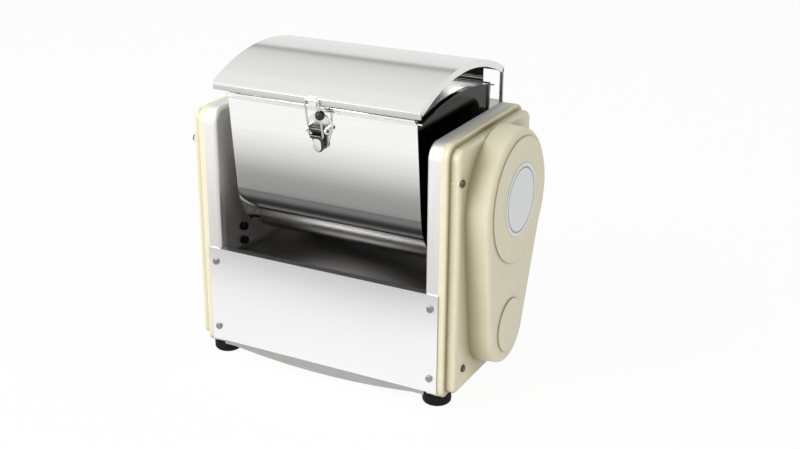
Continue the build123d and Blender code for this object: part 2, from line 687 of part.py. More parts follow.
def drum_section(radius, top, arch=None):
    """U-shaped section: a round bottom and two walls that lean outwards."""
    tangent = (-radius * math.cos(FLARE), SHAFT_HEIGHT - radius * math.sin(FLARE))
    lip = wall_point(radius, top)
    walls = Line(lip, tangent) + Line((-tangent[0], tangent[1]), (-lip[0], lip[1]))
    bottom = ThreePointArc(tangent, (0, SHAFT_HEIGHT - radius), (-tangent[0], tangent[1]))
    crown = ThreePointArc(lip, (0, arch), (-lip[0], lip[1])) if arch else Line(lip, (-lip[0], lip[1]))
    return make_face(walls + bottom + crown)


def drum_shell():
    """Wrapped sheet with a rolled bead along both upper edges."""
    inner = DRUM_HALF - DRUM_SHEET
    wrap = drum_section(DRUM_RADIUS, DRUM_TOP) - drum_section(DRUM_RADIUS - DRUM_SHEET, DRUM_TOP + DRUM_SHEET)
    shell = along_x(wrap, -inner, inner)
    lip = wall_point(DRUM_RADIUS - DRUM_SHEET / 2, DRUM_TOP)
    for side in (-1, 1):
        shell += rod_x((side * lip[0], lip[1]), DRUM_BEAD_RADIUS, -inner, inner)
    return shell


def drum_end():
    """Flat end with an arched top that is folded outwards into a rim."""
    inner = DRUM_HALF - DRUM_SHEET
    lip = wall_point(DRUM_RADIUS, DRUM_TOP)
    rise = DRUM_ARCH - DRUM_TOP
    bow = (lip[0] ** 2 + rise ** 2) / (2 * rise)
    plate = along_x(drum_section(DRUM_RADIUS, DRUM_TOP, DRUM_ARCH), inner, DRUM_HALF)
    band = Pos(0, DRUM_ARCH - bow) * (Circle(bow) - Circle(bow - DRUM_SHEET))
    band &= Pos(0, DRUM_TOP + rise / 2) * Rectangle(2 * (-lip[0] - DRUM_SHEET), rise + 2 * DRUM_SHEET)
    plate += along_x(band, inner, DRUM_HALF + DRUM_RIM)
    return plate - rod_x(SHAFT, NOSE_RADIUS + RUN_CLEARANCE, inner, DRUM_HALF)


def drum_hubs():
    """Bearing collars of the drum, one on each end, that turn on the housing noses."""
    bore = NOSE_RADIUS + RUN_CLEARANCE
    hub = tube_x(SHAFT, HUB_FLANGE_RADIUS, bore, DRUM_HALF, DRUM_HALF + HUB_FLANGE)
    hub += tube_x(SHAFT, HUB_BOSS_RADIUS, bore, DRUM_HALF, HUB_END)
    return on_both_sides(hub)


def hub_screws():
    seat = DRUM_HALF + HUB_FLANGE
    screws = [screw_x(place, seat, seat - SHEET, HUB_SCREW_HEAD_RADIUS, HUB_SCREW_RADIUS)
              for place in ring_points(SHAFT, HUB_SCREW_CIRCLE, 6, 0.0)]
    heads = [screw & rod_x(SHAFT, HUB_FLANGE_RADIUS, seat, HUB_END) for screw in screws]
    return [one for head in heads for one in on_both_sides(head)]


def shaft_seals():
    """Rubber rings in the drum ends that close the gap around the shaft."""
    end = NOSE_END - SCREW_CLEARANCE
    seal = tube_x(SHAFT, NOSE_RADIUS, SHAFT_RADIUS + RUN_CLEARANCE, DRUM_HALF - DRUM_SHEET, end)
    return on_both_sides(seal)


# Gear train

def gear_outline(teeth, module, turn):
    """Stub involute gear; each flank is an arc through root, pitch and tip points."""
    pitch = module * teeth / 2
    base = pitch * math.cos(math.radians(GEAR_PRESSURE))
    tip = pitch + GEAR_ADDENDUM * module
    root = pitch - GEAR_DEDENDUM * module

    def involute(radius):
        roll = math.sqrt(max((radius / base) ** 2 - 1.0, 0.0))
        return roll - math.atan(roll)

    half_tooth = math.pi / (2 * teeth) - GEAR_BACKLASH / (2 * pitch) + involute(pitch)

    def flank(radius, side, middle):
        angle = middle + side * (half_tooth - involute(radius))
        return (radius * math.cos(angle), radius * math.sin(angle))

    edges = []
    step = 2 * math.pi / teeth
    mid_radius = (max(root, base) + tip) / 2
    for tooth in range(teeth):
        middle = math.radians(turn) + tooth * step
        rise = [flank(radius, -1, middle) for radius in (root, mid_radius, tip)]
        fall = [flank(radius, 1, middle) for radius in (tip, mid_radius, root)]
        crest = (tip * math.cos(middle), tip * math.sin(middle))
        valley = (root * math.cos(middle + step / 2), root * math.sin(middle + step / 2))
        edges.append(ThreePointArc(*rise))
        edges.append(ThreePointArc(rise[2], crest, fall[0]))
        edges.append(ThreePointArc(*fall))
        edges.append(ThreePointArc(fall[2], valley, flank(root, -1, middle + step)))
    return make_face(edges)


TRAIN_ANGLE = -90.0 - MOTOR_LEAN


def drive_gear():
    """Shaft gear with a thinner web between its rim and its hub."""
    end = SLOW_PLANE + SLOW_WIDTH
    gear = along_x(Pos(*SHAFT) * gear_outline(GEAR_TEETH, SLOW_MODULE, TRAIN_ANGLE), SLOW_PLANE, end)
    recess = Circle(GEAR_RADIUS - GEAR_RIM) - Circle(GEAR_HUB_RADIUS)
    middle = SLOW_PLANE + SLOW_WIDTH / 2
    gear -= along_x(Pos(*SHAFT) * recess, SLOW_PLANE, middle - GEAR_WEB / 2)
    gear -= along_x(Pos(*SHAFT) * recess, middle + GEAR_WEB / 2, end)
    for place in ring_points(SHAFT, (GEAR_RADIUS - GEAR_RIM + GEAR_HUB_RADIUS) / 2, 6):
        gear -= rod_x(place, GEAR_RIM, SLOW_PLANE, end)
    return gear - rod_x(SHAFT, SHAFT_RADIUS + FIT_CLEARANCE, SLOW_PLANE, end)


def idler_gear():
    """Two-step gear: the large step meets the motor pinion, the small one the shaft gear."""
    fast_end = FAST_PLANE + FAST_WIDTH
    slow_end = SLOW_PLANE + SLOW_WIDTH + SHEET
    small_turn = TRAIN_ANGLE + 180.0 - 180.0 / IDLER_SMALL_TEETH
    large = gear_outline(IDLER_LARGE_TEETH, FAST_MODULE, TRAIN_ANGLE)
    small = gear_outline(IDLER_SMALL_TEETH, SLOW_MODULE, small_turn)
    gear = along_x(Pos(*IDLER) * large, FAST_PLANE, fast_end)
    gear += along_x(Pos(*IDLER) * small, fast_end, slow_end)
    return gear - rod_x(IDLER, IDLER_AXLE_RADIUS + RUN_CLEARANCE, FAST_PLANE, slow_end)


def idler_axle():
    """Stud fixed in the web, with a collar on each side of the idler."""
    slow_end = SLOW_PLANE + SLOW_WIDTH + SHEET
    stud = rod_x(IDLER, IDLER_AXLE_RADIUS, INNER_HALF, slow_end + 3 * SHEET)
    stud += rod_x(IDLER, 2 * IDLER_AXLE_RADIUS, WEB, WEB + 2 * SHEET)
    stud += rod_x(IDLER, IDLER_COLLAR_RADIUS, WEB, FAST_PLANE - SCREW_CLEARANCE)
    return stud + rod_x(IDLER, IDLER_COLLAR_RADIUS, slow_end + SCREW_CLEARANCE, slow_end + 2 * SHEET)


def motor_pinion():
    turn = TRAIN_ANGLE + 180.0 - 180.0 / PINION_TEETH
    end = FAST_PLANE + FAST_WIDTH
    gear = along_x(Pos(*MOTOR) * gear_outline(PINION_TEETH, FAST_MODULE, turn), FAST_PLANE, end)
    return gear - rod_x(MOTOR, MOTOR_SHAFT_RADIUS + FIT_CLEARANCE, FAST_PLANE, end)


# Motor

MOTOR_FACE = INNER_HALF - MOTOR_FLANGE
MOTOR_END = MOTOR_FACE - MOTOR_BELL
MOTOR_START = MOTOR_END - MOTOR_LENGTH


def motor_screw_places():
    return ring_points(MOTOR, MOTOR_FLANGE_RADIUS - 2 * SCREW_HEAD_RADIUS, 4)


def motor_body():
    """Stator housing with shallow cooling grooves along it."""
    body = rod_x(MOTOR, MOTOR_RADIUS, MOTOR_START, MOTOR_END)
    for place in ring_points(MOTOR, MOTOR_RADIUS, 16):
        body -= rod_x(place, SHEET, MOTOR_START, MOTOR_END)
    return body


def motor_end_bells():
    """Domed ends; the drive end is bored for the shaft."""
    drive = rod_x(MOTOR, MOTOR_RADIUS, MOTOR_END, MOTOR_FACE)
    drive -= rod_x(MOTOR, MOTOR_SHAFT_RADIUS + RUN_CLEARANCE, MOTOR_END + SHEET, MOTOR_FACE)
    far = rod_x(MOTOR, MOTOR_RADIUS, MOTOR_START - MOTOR_BELL, MOTOR_START)
    far = fillet(far.faces().sort_by(Axis.X)[0].edges(), MOTOR_BELL_ROUND)
    return [drive, far]


def motor_flange():
    plate = tube_x(MOTOR, MOTOR_FLANGE_RADIUS, MOTOR_SHAFT_RADIUS + SHEET, MOTOR_FACE, INNER_HALF)
    for place in motor_screw_places():
        plate -= rod_x(place, SCREW_RADIUS + SCREW_CLEARANCE, MOTOR_FACE, INNER_HALF)
    return plate


def motor_screws():
    return [screw_x(place, WEB, MOTOR_FACE + SHEET) for place in motor_screw_places()]


def motor_shaft():
    return rod_x(MOTOR, MOTOR_SHAFT_RADIUS, MOTOR_END + 2 * SHEET, FAST_PLANE + FAST_WIDTH + SHEET)


def above_pan(shape):
    """Cut away what would reach into the bowed floor of the pan."""
    return shape & along_y(pan_section(PANEL_SHEET, SIDE_TOP), FRONT, REAR)


def motor_cradle():
    """Saddle under the motor that stands on the bottom pan."""
    middle = (MOTOR_START + MOTOR_END) / 2
    seat = MOTOR_HEIGHT - MOTOR_RADIUS / 2
    block = Pos(MOTOR[0], seat / 2) * Rectangle(2 * CRADLE_HALF, seat)
    block -= Pos(*MOTOR) * Circle(MOTOR_RADIUS + FIT_CLEARANCE)
    return above_pan(along_x(block, middle - CRADLE_WIDTH / 2, middle + CRADLE_WIDTH / 2))


CAPACITOR = (CAPACITOR_Y, FOOT_HEIGHT + PANEL_SHEET + CAPACITOR_RADIUS)


def motor_capacitor():
    half = CAPACITOR_LENGTH / 2
    can = rod_x(CAPACITOR, CAPACITOR_RADIUS, CAPACITOR_X - half, CAPACITOR_X + half)
    return fillet(can.edges().filter_by(GeomType.CIRCLE), SHEET)


def capacitor_clip():
    """Sheet band around the capacitor with a foot on the pan."""
    grip = CAPACITOR_RADIUS + FIT_CLEARANCE
    band = Pos(*CAPACITOR) * Circle(grip + CLIP_THICK)
    band += Pos(CAPACITOR_Y, CAPACITOR[1] / 2) * Rectangle(CAPACITOR_RADIUS, CAPACITOR[1])
    band -= Pos(*CAPACITOR) * Circle(grip)
    return above_pan(along_x(band, CAPACITOR_X - CAPACITOR_RADIUS / 2, CAPACITOR_X + CAPACITOR_RADIUS / 2))


# Lid and hinge

HINGE = (LID_REACH + HINGE_BARREL_RADIUS, HINGE_Z)
LID_BOW = (LID_REACH ** 2 + LID_RISE ** 2) / (2 * LID_RISE)


def lid_band(outer, inner):
    ring = Pos(0, LID_APEX - LID_BOW) * (Circle(outer) - Circle(inner))
    return ring & Pos(0, LID_EDGE) * Rectangle(2 * LID_REACH, 4 * LID_RISE)


def lid_shell():
    """Arched sheet with a front lip, a rear skirt and hemmed ends."""
    section = lid_band(LID_BOW, LID_BOW - LID_SHEET)
    lip_centre = Pos(LID_SHEET / 2 - LID_REACH, LID_EDGE - LID_LIP / 2)
    skirt_centre = Pos(LID_REACH - LID_SHEET / 2, (LID_EDGE + LID_SKIRT_LOW) / 2)
    section += lip_centre * Rectangle(LID_SHEET, LID_LIP)
    section += skirt_centre * Rectangle(LID_SHEET, LID_EDGE - LID_SKIRT_LOW)
    lid = along_x(section, -LID_HALF, LID_HALF)
    hem = lid_band(LID_BOW - LID_SHEET / 2, LID_BOW - 2 * LID_SHEET)
    lid += along_x(hem, LID_HALF - LID_HEM, LID_HALF)
    return lid + along_x(hem, -LID_HALF, LID_HEM - LID_HALF)


def lid_hinge_ears():
    """Leaves on the skirt, rolled into a barrel around the hinge pin."""
    tall = 4 * HINGE_BARREL_RADIUS
    leaf = Pos(LID_REACH + SHEET / 2, HINGE_Z + tall / 2) * Rectangle(SHEET, tall)
    section = leaf + Pos(*HINGE) * Circle(HINGE_BARREL_RADIUS)
    section -= Pos(*HINGE) * Circle(HINGE_PIN_RADIUS + RUN_CLEARANCE)
    return on_both_sides(along_x(section, LID_HALF - HINGE_EAR_LENGTH, LID_HALF))


def hinge_screw_heights():
    return (HINGE_BLOCK_LOW + 2 * SCREW_HEAD_RADIUS, HINGE_BLOCK_LOW + 5 * SCREW_HEAD_RADIUS)


def hinge_blocks():
    """Black blocks on the rear flanges that carry the hinge pins."""
    eye = HINGE_PIN_RADIUS + HINGE_BARREL_RADIUS
    straight = SIDE_TOP - SIDE_CORNER
    section = Pos(REAR + HINGE_BLOCK_THICK / 2, (HINGE_BLOCK_LOW + straight) / 2) * Rectangle(
        HINGE_BLOCK_THICK, straight - HINGE_BLOCK_LOW)
    section += make_face(Polyline((REAR, straight), (REAR + HINGE_BLOCK_THICK, straight - 2 * eye),
                                  (HINGE[0] + eye, HINGE_Z), (HINGE[0] - eye, HINGE_Z), close=True))
    section += Pos(*HINGE) * Circle(eye)
    section -= Pos(*HINGE) * Circle(HINGE_PIN_RADIUS)
    block = along_x(section, INNER_HALF + HINGE_BLOCK_INSET, SEAM - HINGE_BLOCK_INSET)
    for z in hinge_screw_heights():
        hole = Circle(SCREW_RADIUS + SCREW_CLEARANCE)
        block -= along_y(Pos((INNER_HALF + SEAM) / 2, z) * hole, REAR, REAR + HINGE_BLOCK_THICK)
    return on_both_sides(block)


def hinge_screws():
    face = REAR + HINGE_BLOCK_THICK
    screws = []
    for z in hinge_screw_heights():
        place = Pos((INNER_HALF + SEAM) / 2, z)
        screw = along_y(place * Circle(SCREW_HEAD_RADIUS), face, face + SCREW_HEAD)
        screw += along_y(place * Circle(SCREW_RADIUS), REAR - 2 * SHEET, face)
        screws += on_both_sides(screw)
    return screws


def hinge_pins():
    start = LID_HALF - HINGE_EAR_LENGTH
    return on_both_sides(rod_x(HINGE, HINGE_PIN_RADIUS - FIT_CLEARANCE, start, SEAM - HINGE_BLOCK_INSET))


def lid_keeper():
    """Small tab on the lip that the latch bail lies against."""
    tab = Pos(0, LID_EDGE - LID_LIP / 2 - KEEPER_DROP / 2) * RectangleRounded(
        2 * KEEPER_HALF, LID_LIP + KEEPER_DROP - 2 * SHEET, SHEET)
    return along_y(tab, -LID_REACH - KEEPER_THICK, -LID_REACH)


# Latch

def on_wall(shape):
    """Set a latch piece on the front wall: x along the drum, y up the wall, z outwards."""
    y, z = wall_point(DRUM_RADIUS, LATCH_HEIGHT)
    wall = Plane(origin=(0, y, z), x_dir=(1, 0, 0), z_dir=(0, -math.cos(FLARE), -math.sin(FLARE)))
    return wall * shape


def cross_rod(up, out, radius, start, end):
    return Pos((start + end) / 2, up, out) * Rot(0, 90, 0) * Cylinder(radius, end - start)


def latch_plate():
    """Teardrop backing plate with two ears that carry the lever pin."""
    drop = round_hull((0, LATCH_PLATE_RISE), LATCH_TOP_RADIUS, (0, -LATCH_PLATE_DROP), LATCH_LOW_RADIUS)
    plate = extrude(drop, LATCH_PLATE)
    for side in (-1, 1):
        inner = side * (LATCH_EAR_HALF - LATCH_EAR_THICK)
        outer = side * LATCH_EAR_HALF
        ear = Pos((inner + outer) / 2, 0, (LATCH_PLATE + LATCH_PIN_OUT) / 2) * Box(
            LATCH_EAR_THICK, 2 * LATCH_BARREL_RADIUS, LATCH_PIN_OUT - LATCH_PLATE)
        ear += cross_rod(0, LATCH_PIN_OUT, LATCH_BARREL_RADIUS, min(inner, outer), max(inner, outer))
        plate += ear
    plate -= cross_rod(0, LATCH_PIN_OUT, LATCH_PIN_RADIUS + FIT_CLEARANCE, -LATCH_EAR_HALF, LATCH_EAR_HALF)
    return on_wall(plate)


def latch_pin():
    proud = LATCH_EAR_HALF + LATCH_EAR_THICK / 2
    return on_wall(cross_rod(0, LATCH_PIN_OUT, LATCH_PIN_RADIUS, -proud, proud))


def latch_lever():
    """Tongue that hangs from the pin, with a boss for the bail."""
    half = LATCH_TONGUE_RADIUS
    tongue = Pos(0, -(LATCH_TONGUE - half) / 2) * Rectangle(2 * half, LATCH_TONGUE - half)
    tongue += Pos(0, half - LATCH_TONGUE) * Circle(half)
    lever = Pos(0, 0, LATCH_PIN_OUT - LATCH_TONGUE_THICK / 2) * extrude(tongue, LATCH_TONGUE_THICK)
    lever += cross_rod(0, LATCH_PIN_OUT, LATCH_BARREL_RADIUS, -half, half)
    lever += cross_rod(-BAIL_DROP, LATCH_PIN_OUT + BAIL_OUT, 2 * BAIL_WIRE_RADIUS, -half, half)
    lever -= cross_rod(0, LATCH_PIN_OUT, LATCH_PIN_RADIUS + RUN_CLEARANCE, -half, half)
    lever -= cross_rod(-BAIL_DROP, LATCH_PIN_OUT + BAIL_OUT, BAIL_WIRE_RADIUS + RUN_CLEARANCE, -half, half)
    return on_wall(lever)


def bail_corners():
    """Corners of the wire bail: from its pivot, past the lip of the lid, and back."""
    reach = LATCH_TONGUE_RADIUS + (LATCH_EAR_HALF - LATCH_EAR_THICK - LATCH_TONGUE_RADIUS) / 2
    wall_y, wall_z = wall_point(DRUM_RADIUS, LATCH_HEIGHT)
    front = LID_REACH + KEEPER_THICK + BAIL_WIRE_RADIUS + BAIL_CLEARANCE + wall_y
    rise = BAIL_TOP - wall_z
    up = rise * math.cos(FLARE) + front * math.sin(FLARE)
    out = front * math.cos(FLARE) - rise * math.sin(FLARE)
    pivot = (-BAIL_DROP, LATCH_PIN_OUT + BAIL_OUT)
    half = LATCH_TONGUE_RADIUS
    return [(half / 2, *pivot), (reach, *pivot), (reach, up, out),
            (-reach, up, out), (-reach, *pivot), (-half / 2, *pivot)]


def latch_bail():
    path = FilletPolyline(*bail_corners(), radius=BAIL_BEND)
    wire = sweep(Plane(origin=path @ 0, z_dir=path % 0) * Circle(BAIL_WIRE_RADIUS), path)
    return on_wall(wire)


def latch_knob():
    """Round black grip clipped on one leg of the bail."""
    corners = bail_corners()
    centre = [low + KNOB_SHARE * (high - low) for low, high in zip(corners[1], corners[2])]
    slope = math.degrees(math.atan2(corners[2][2] - corners[1][2], corners[2][1] - corners[1][1]))
    bore = Rot(90 + slope, 0, 0) * Cylinder(BAIL_WIRE_RADIUS + FIT_CLEARANCE, 3 * KNOB_RADIUS)
    return on_wall(Pos(*centre) * (Sphere(KNOB_RADIUS) - bore))


# Inlet and switch on the rear panel

def cord_gland():
    face = REAR + PANEL_SHEET
    place = Pos(GLAND_X, GLAND_Z)
    body = along_y(place * Circle(GLAND_THREAD_RADIUS - SCREW_CLEARANCE), face - GLAND_LENGTH, face)
    body += along_y(place * RegularPolygon(GLAND_RADIUS, 6), face, face + GLAND_LENGTH / 3)
    dome = along_y(place * Circle(GLAND_DOME_RADIUS), face, face + GLAND_DOME_LENGTH)
    body += fillet(dome.faces().sort_by(Axis.Y)[-1].edges(), GLAND_LENGTH / 6)
    return body - along_y(place * Circle(GLAND_BORE), face - GLAND_LENGTH, face + GLAND_LENGTH)


def gland_nut():
    place = Pos(GLAND_X, GLAND_Z)
    ring = RegularPolygon(GLAND_RADIUS, 6) - Circle(GLAND_THREAD_RADIUS - SCREW_CLEARANCE + FIT_CLEARANCE)
    return along_y(place * ring, REAR - GLAND_LENGTH / 3, REAR)


SWITCH_FACE = REAR + PANEL_SHEET
SWITCH_PIVOT = (SWITCH_FACE, SWITCH_Z)


def switch_housing():
    """Hollow snap-in housing with a bezel on the outside of the panel."""
    place = Pos(SWITCH_X, SWITCH_Z)
    window = Rectangle(SWITCH_WIDTH, SWITCH_TALL)
    body = along_y(place * Rectangle(SWITCH_WIDTH + 2 * SWITCH_WALL, SWITCH_TALL + 2 * SWITCH_WALL),
                   SWITCH_FACE - SWITCH_BOX, SWITCH_FACE)
    rim = along_y(place * Rectangle(SWITCH_WIDTH + 4 * SWITCH_WALL, SWITCH_TALL + 4 * SWITCH_WALL),
                  SWITCH_FACE, SWITCH_FACE + SWITCH_BEZEL_PROUD)
    body += chamfer(rim.faces().sort_by(Axis.Y)[-1].edges(), SWITCH_WALL / 2)
    body -= along_y(place * window, SWITCH_FACE - SWITCH_BOX + SWITCH_WALL, SWITCH_FACE + SWITCH_BEZEL_PROUD)
    reach = SWITCH_WIDTH / 2 + SWITCH_WALL
    return body - rod_x(SWITCH_PIVOT, SWITCH_WALL + RUN_CLEARANCE, SWITCH_X - reach, SWITCH_X + reach)


def switch_rocker():
    """Hollow-faced rocker that tips about a pin across the housing."""
    half = SWITCH_TALL / 2
    crest = ROCKER_PROUD + half * math.tan(math.radians(ROCKER_TILT))
    key = make_face(Polyline((-ROCKER_DEEP, -half), (-ROCKER_DEEP, half), (crest, half), (ROCKER_PROUD, 0),
                             (crest, -half), close=True))
    key &= Circle(half - SWITCH_GAP)
    reach = SWITCH_WIDTH / 2 - SWITCH_GAP
    section = Pos(*SWITCH_PIVOT) * Rot(0, 0, ROCKER_TILT) * key
    rocker = along_x(section, SWITCH_X - reach, SWITCH_X + reach)
    pin_reach = reach + SWITCH_GAP + SWITCH_WALL
    return rocker + rod_x(SWITCH_PIVOT, SWITCH_WALL, SWITCH_X - pin_reach, SWITCH_X + pin_reach)


# All pieces, one node each; identical pieces share a node

def left(shape):
    return mirror(shape, about=Plane.YZ)


NODES = {
    "left_side_frame": left(side_frame()),
    "right_side_frame": right_side_frame(),
    "left_side_cover": left(side_cover()),
    "right_side_cover": right_side_cover(),
    "gear_cover": gear_cover(),
    "cover_badge": cover_badge(),
    "cover_screws": cover_screws(),
    "rubber_feet": rubber_feet(),
    "foot_screws": foot_screws(),
    "bottom_pan": bottom_pan(),
    "front_panel": front_panel(),
    "rear_panel": rear_panel(),
    "panel_screws": panel_screws(),
    "motor_deck": motor_deck(),
    "tie_rods": tie_rods(),
    "tie_rod_screws": tie_rod_screws(),
    "side_buffers": side_buffers(),
    "left_bearing_housing": left(bearing_housing()),
    "right_bearing_housing": bearing_housing(),
    "shaft_bearings": shaft_bearings(),
    "bearing_caps": bearing_caps(),
    "housing_screws": housing_screws(),
    "drive_shaft": drive_shaft(),
    "idle_shaft": idle_shaft(),
    "kneading_arm": kneading_arm(),
    "arm_pins": arm_pins(),
    "drive_gear": drive_gear(),
    "idler_gear": idler_gear(),
    "idler_axle": idler_axle(),
    "motor_pinion": motor_pinion(),
    "motor_shaft": motor_shaft(),
    "motor_body": motor_body(),
    "motor_end_bells": motor_end_bells(),
    "motor_flange": motor_flange(),
    "motor_screws": motor_screws(),
    "motor_cradle": motor_cradle(),
    "motor_capacitor": motor_capacitor(),
    "capacitor_clip": capacitor_clip(),
    "drum_shell": drum_shell(),
    "drum_left_end": left(drum_end()),
    "drum_right_end": drum_end(),
    "drum_hubs": drum_hubs(),
    "hub_screws": hub_screws(),
    "shaft_seals": shaft_seals(),
    "lid_shell": lid_shell(),
    "lid_hinge_ears": lid_hinge_ears(),
    "lid_keeper": lid_keeper(),
    "hinge_blocks": hinge_blocks(),
    "hinge_screws": hinge_screws(),
    "hinge_pins": hinge_pins(),
    "latch_plate": latch_plate(),
    "latch_pin": latch_pin(),
    "latch_lever": latch_lever(),
    "latch_bail": latch_bail(),
    "latch_knob": latch_knob(),
    "cord_gland": cord_gland(),
    "gland_nut": gland_nut(),
    "switch_housing": switch_housing(),
    "switch_rocker": switch_rocker(),
}


def as_compound(piece):
    return Compound(children=piece) if isinstance(piece, list) else piece


def main():
    """Set the origin at the bottom centre of the whole machine and write each node."""
    pieces = {name: as_compound(piece) for name, piece in NODES.items()}
    solids = [solid for piece in pieces.values() for solid in piece.solids()]
    box = Compound(children=solids).bounding_box()
    shift = Pos(-(box.min.X + box.max.X) / 2, -(box.min.Y + box.max.Y) / 2, -box.min.Z)
    os.makedirs("parts", exist_ok=True)
    for name, piece in pieces.items():
        export_step(shift * Compound(children=list(piece.solids())), "parts/" + name + ".step")


main()
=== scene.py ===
"""Dough kneading machine: finishes, small fittings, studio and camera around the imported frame."""
import logging
import math
from dataclasses import dataclass, field
from enum import Enum

import bmesh
import bpy
from mathutils import Matrix, Vector

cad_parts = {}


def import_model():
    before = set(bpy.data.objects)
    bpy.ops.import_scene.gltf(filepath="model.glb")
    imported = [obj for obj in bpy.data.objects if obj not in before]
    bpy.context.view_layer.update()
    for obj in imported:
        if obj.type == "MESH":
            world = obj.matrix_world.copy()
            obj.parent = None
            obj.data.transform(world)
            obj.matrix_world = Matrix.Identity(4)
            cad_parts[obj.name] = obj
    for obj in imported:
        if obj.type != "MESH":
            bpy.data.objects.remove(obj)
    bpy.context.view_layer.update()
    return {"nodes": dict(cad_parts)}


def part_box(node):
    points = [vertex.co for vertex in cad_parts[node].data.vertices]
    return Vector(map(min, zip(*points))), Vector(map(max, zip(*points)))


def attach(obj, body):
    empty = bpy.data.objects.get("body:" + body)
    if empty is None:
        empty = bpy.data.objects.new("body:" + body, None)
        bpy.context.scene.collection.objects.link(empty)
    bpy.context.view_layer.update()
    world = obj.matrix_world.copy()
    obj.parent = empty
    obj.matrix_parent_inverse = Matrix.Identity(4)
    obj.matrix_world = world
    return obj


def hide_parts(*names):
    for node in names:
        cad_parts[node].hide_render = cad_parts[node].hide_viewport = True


LOG = logging.getLogger("dough_machine")
MM = 0.001
PHOTO_WIDTH = 800
SENSOR_MM = 36.0
# Distance in metres under which two points count as one.
SAME_POINT = 1e-6
# Sockets of the colour mix node, which has several of the same name.
MIX_FACTOR = 0
MIX_FIRST = 6
MIX_SECOND = 7
MIX_RESULT = 2
# Values of the fine pattern at which a finish shows only its worn and only its clean colour.
WORN_AT = 0.3
CLEAN_AT = 0.7
PATTERN_DETAIL = 4.0
PATTERN_ROUGHNESS = 0.55
# Openness of a place, from the occlusion node, at which the painted shade of corners is full, and at which
# it ends.
CORNER_AT = 0.35
OPEN_AT = 1.0
CORNER_SAMPLES = 8
LEAST_ROUGHNESS = 0.02
# Strength of a light that the Standard view shows as white.
WHITE_GLOW = 1.0
WHITE = "#ffffff"


class Body(Enum):
    """Bodies of the frame that carry the pieces made here."""

    FRAME = "frame"
    DRUM = "drum"
    LID = "lid"
    LEVER = "latch_lever"


class Grain(Enum):
    """Direction that a brushed sheet was ground in, as the axis that its scratches follow."""

    NONE = ""
    ALONG_X = "x"
    ALONG_Z = "z"


def linear(code: str) -> tuple[float, float, float, float]:
    """Turn an sRGB hex code into linear colour.

    Args:
        code: Six hex digits, with or without a leading hash.

    Returns:
        Linear red, green, blue and an alpha of one.
    """
    digits = code.lstrip("#")
    values = [int(digits[at:at + 2], 16) / 255.0 for at in (0, 2, 4)]
    lin = [v / 12.92 if v <= 0.04045 else ((v + 0.055) / 1.055) ** 2.4 for v in values]
    return (lin[0], lin[1], lin[2], 1.0)


def add_node(tree: bpy.types.NodeTree, kind: str, settings: dict | None = None, inputs: dict | None = None,
             links: dict | None = None) -> bpy.types.Node:
    """Add one node with its settings, input values and incoming links.

    Args:
        tree: Node tree that gets the node.
        kind: Blender's type name of the node.
        settings: Attributes to set on the node.
        inputs: Input values, keyed by socket name or number.
        links: Output sockets to link, keyed by input socket name or number.

    Returns:
        The new node.
    """
    node = tree.nodes.new(kind)
    for name, value in (settings or {}).items():
        setattr(node, name, value)
    for key, value in (inputs or {}).items():
        node.inputs[key].default_value = value
    for key, socket in (links or {}).items():
        tree.links.new(socket, node.inputs[key])
    return node


def new_material(name: str) -> bpy.types.Material:
    """Return a material whose node tree is still empty.

    Args:
        name: Material name.

    Returns:
        The new material.
    """
    material = bpy.data.materials.new(name)
    material.use_nodes = True
    material.node_tree.nodes.clear()
    return material


def new_object(name: str, mesh: bmesh.types.BMesh) -> bpy.types.Object:
    """Turn a bmesh into an object of the scene.

    Args:
        name: Object name.
        mesh: Finished bmesh, which is freed.

    Returns:
        The new object.
    """
    data = bpy.data.meshes.new(name)
    mesh.to_mesh(data)
    mesh.free()
    made = bpy.data.objects.new(name, data)
    bpy.context.collection.objects.link(made)
    return made


def turned(degrees: float, axis: str) -> Matrix:
    """Return a rotation about one axis of the frame.

    Args:
        degrees: Angle of the turn.
        axis: Letter of the axis.

    Returns:
        The rotation.
    """
    return Matrix.Rotation(math.radians(degrees), 4, axis)


def new_panel(matrix: Matrix) -> bmesh.types.BMesh:
    """Return one flat face, which reaches one unit to each side before it is placed.

    Args:
        matrix: Size, turn and place of the face.

    Returns:
        The face's bmesh.
    """
    made = bmesh.new()
    bmesh.ops.create_grid(made, x_segments=1, y_segments=1, size=1.0, matrix=matrix)
    return made


def merged_copy(node: bpy.types.Object) -> bmesh.types.BMesh:
    """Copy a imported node's mesh and join the points that its faces don't share yet.

    Args:
        node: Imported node.

    Returns:
        The merged copy.
    """
    made = bmesh.new()
    made.from_mesh(node.data)
    bmesh.ops.remove_doubles(made, verts=made.verts, dist=SAME_POINT)
    return made


def draw_out(mesh: bmesh.types.BMesh, way: Vector) -> None:
    """Extrude a flat mesh into a solid.

    Args:
        mesh: Flat mesh, which is changed.
        way: Direction and length, in metres.
    """
    drawn = bmesh.ops.extrude_face_region(mesh, geom=mesh.faces[:])
    moved = [item for item in drawn["geom"] if isinstance(item, bmesh.types.BMVert)]
    bmesh.ops.translate(mesh, verts=moved, vec=way)


def soften(mesh: bmesh.types.BMesh, edges: list[bmesh.types.BMEdge], width: float, steps: int) -> None:
    """Round some edges of a mesh.

    Args:
        mesh: Mesh, which is changed.
        edges: Edges to round.
        width: Width of the rounding, in metres.
        steps: Faces across the rounding.
    """
    bmesh.ops.bevel(mesh, geom=edges, offset=width, segments=steps, profile=0.5, affect="EDGES", material=-1)


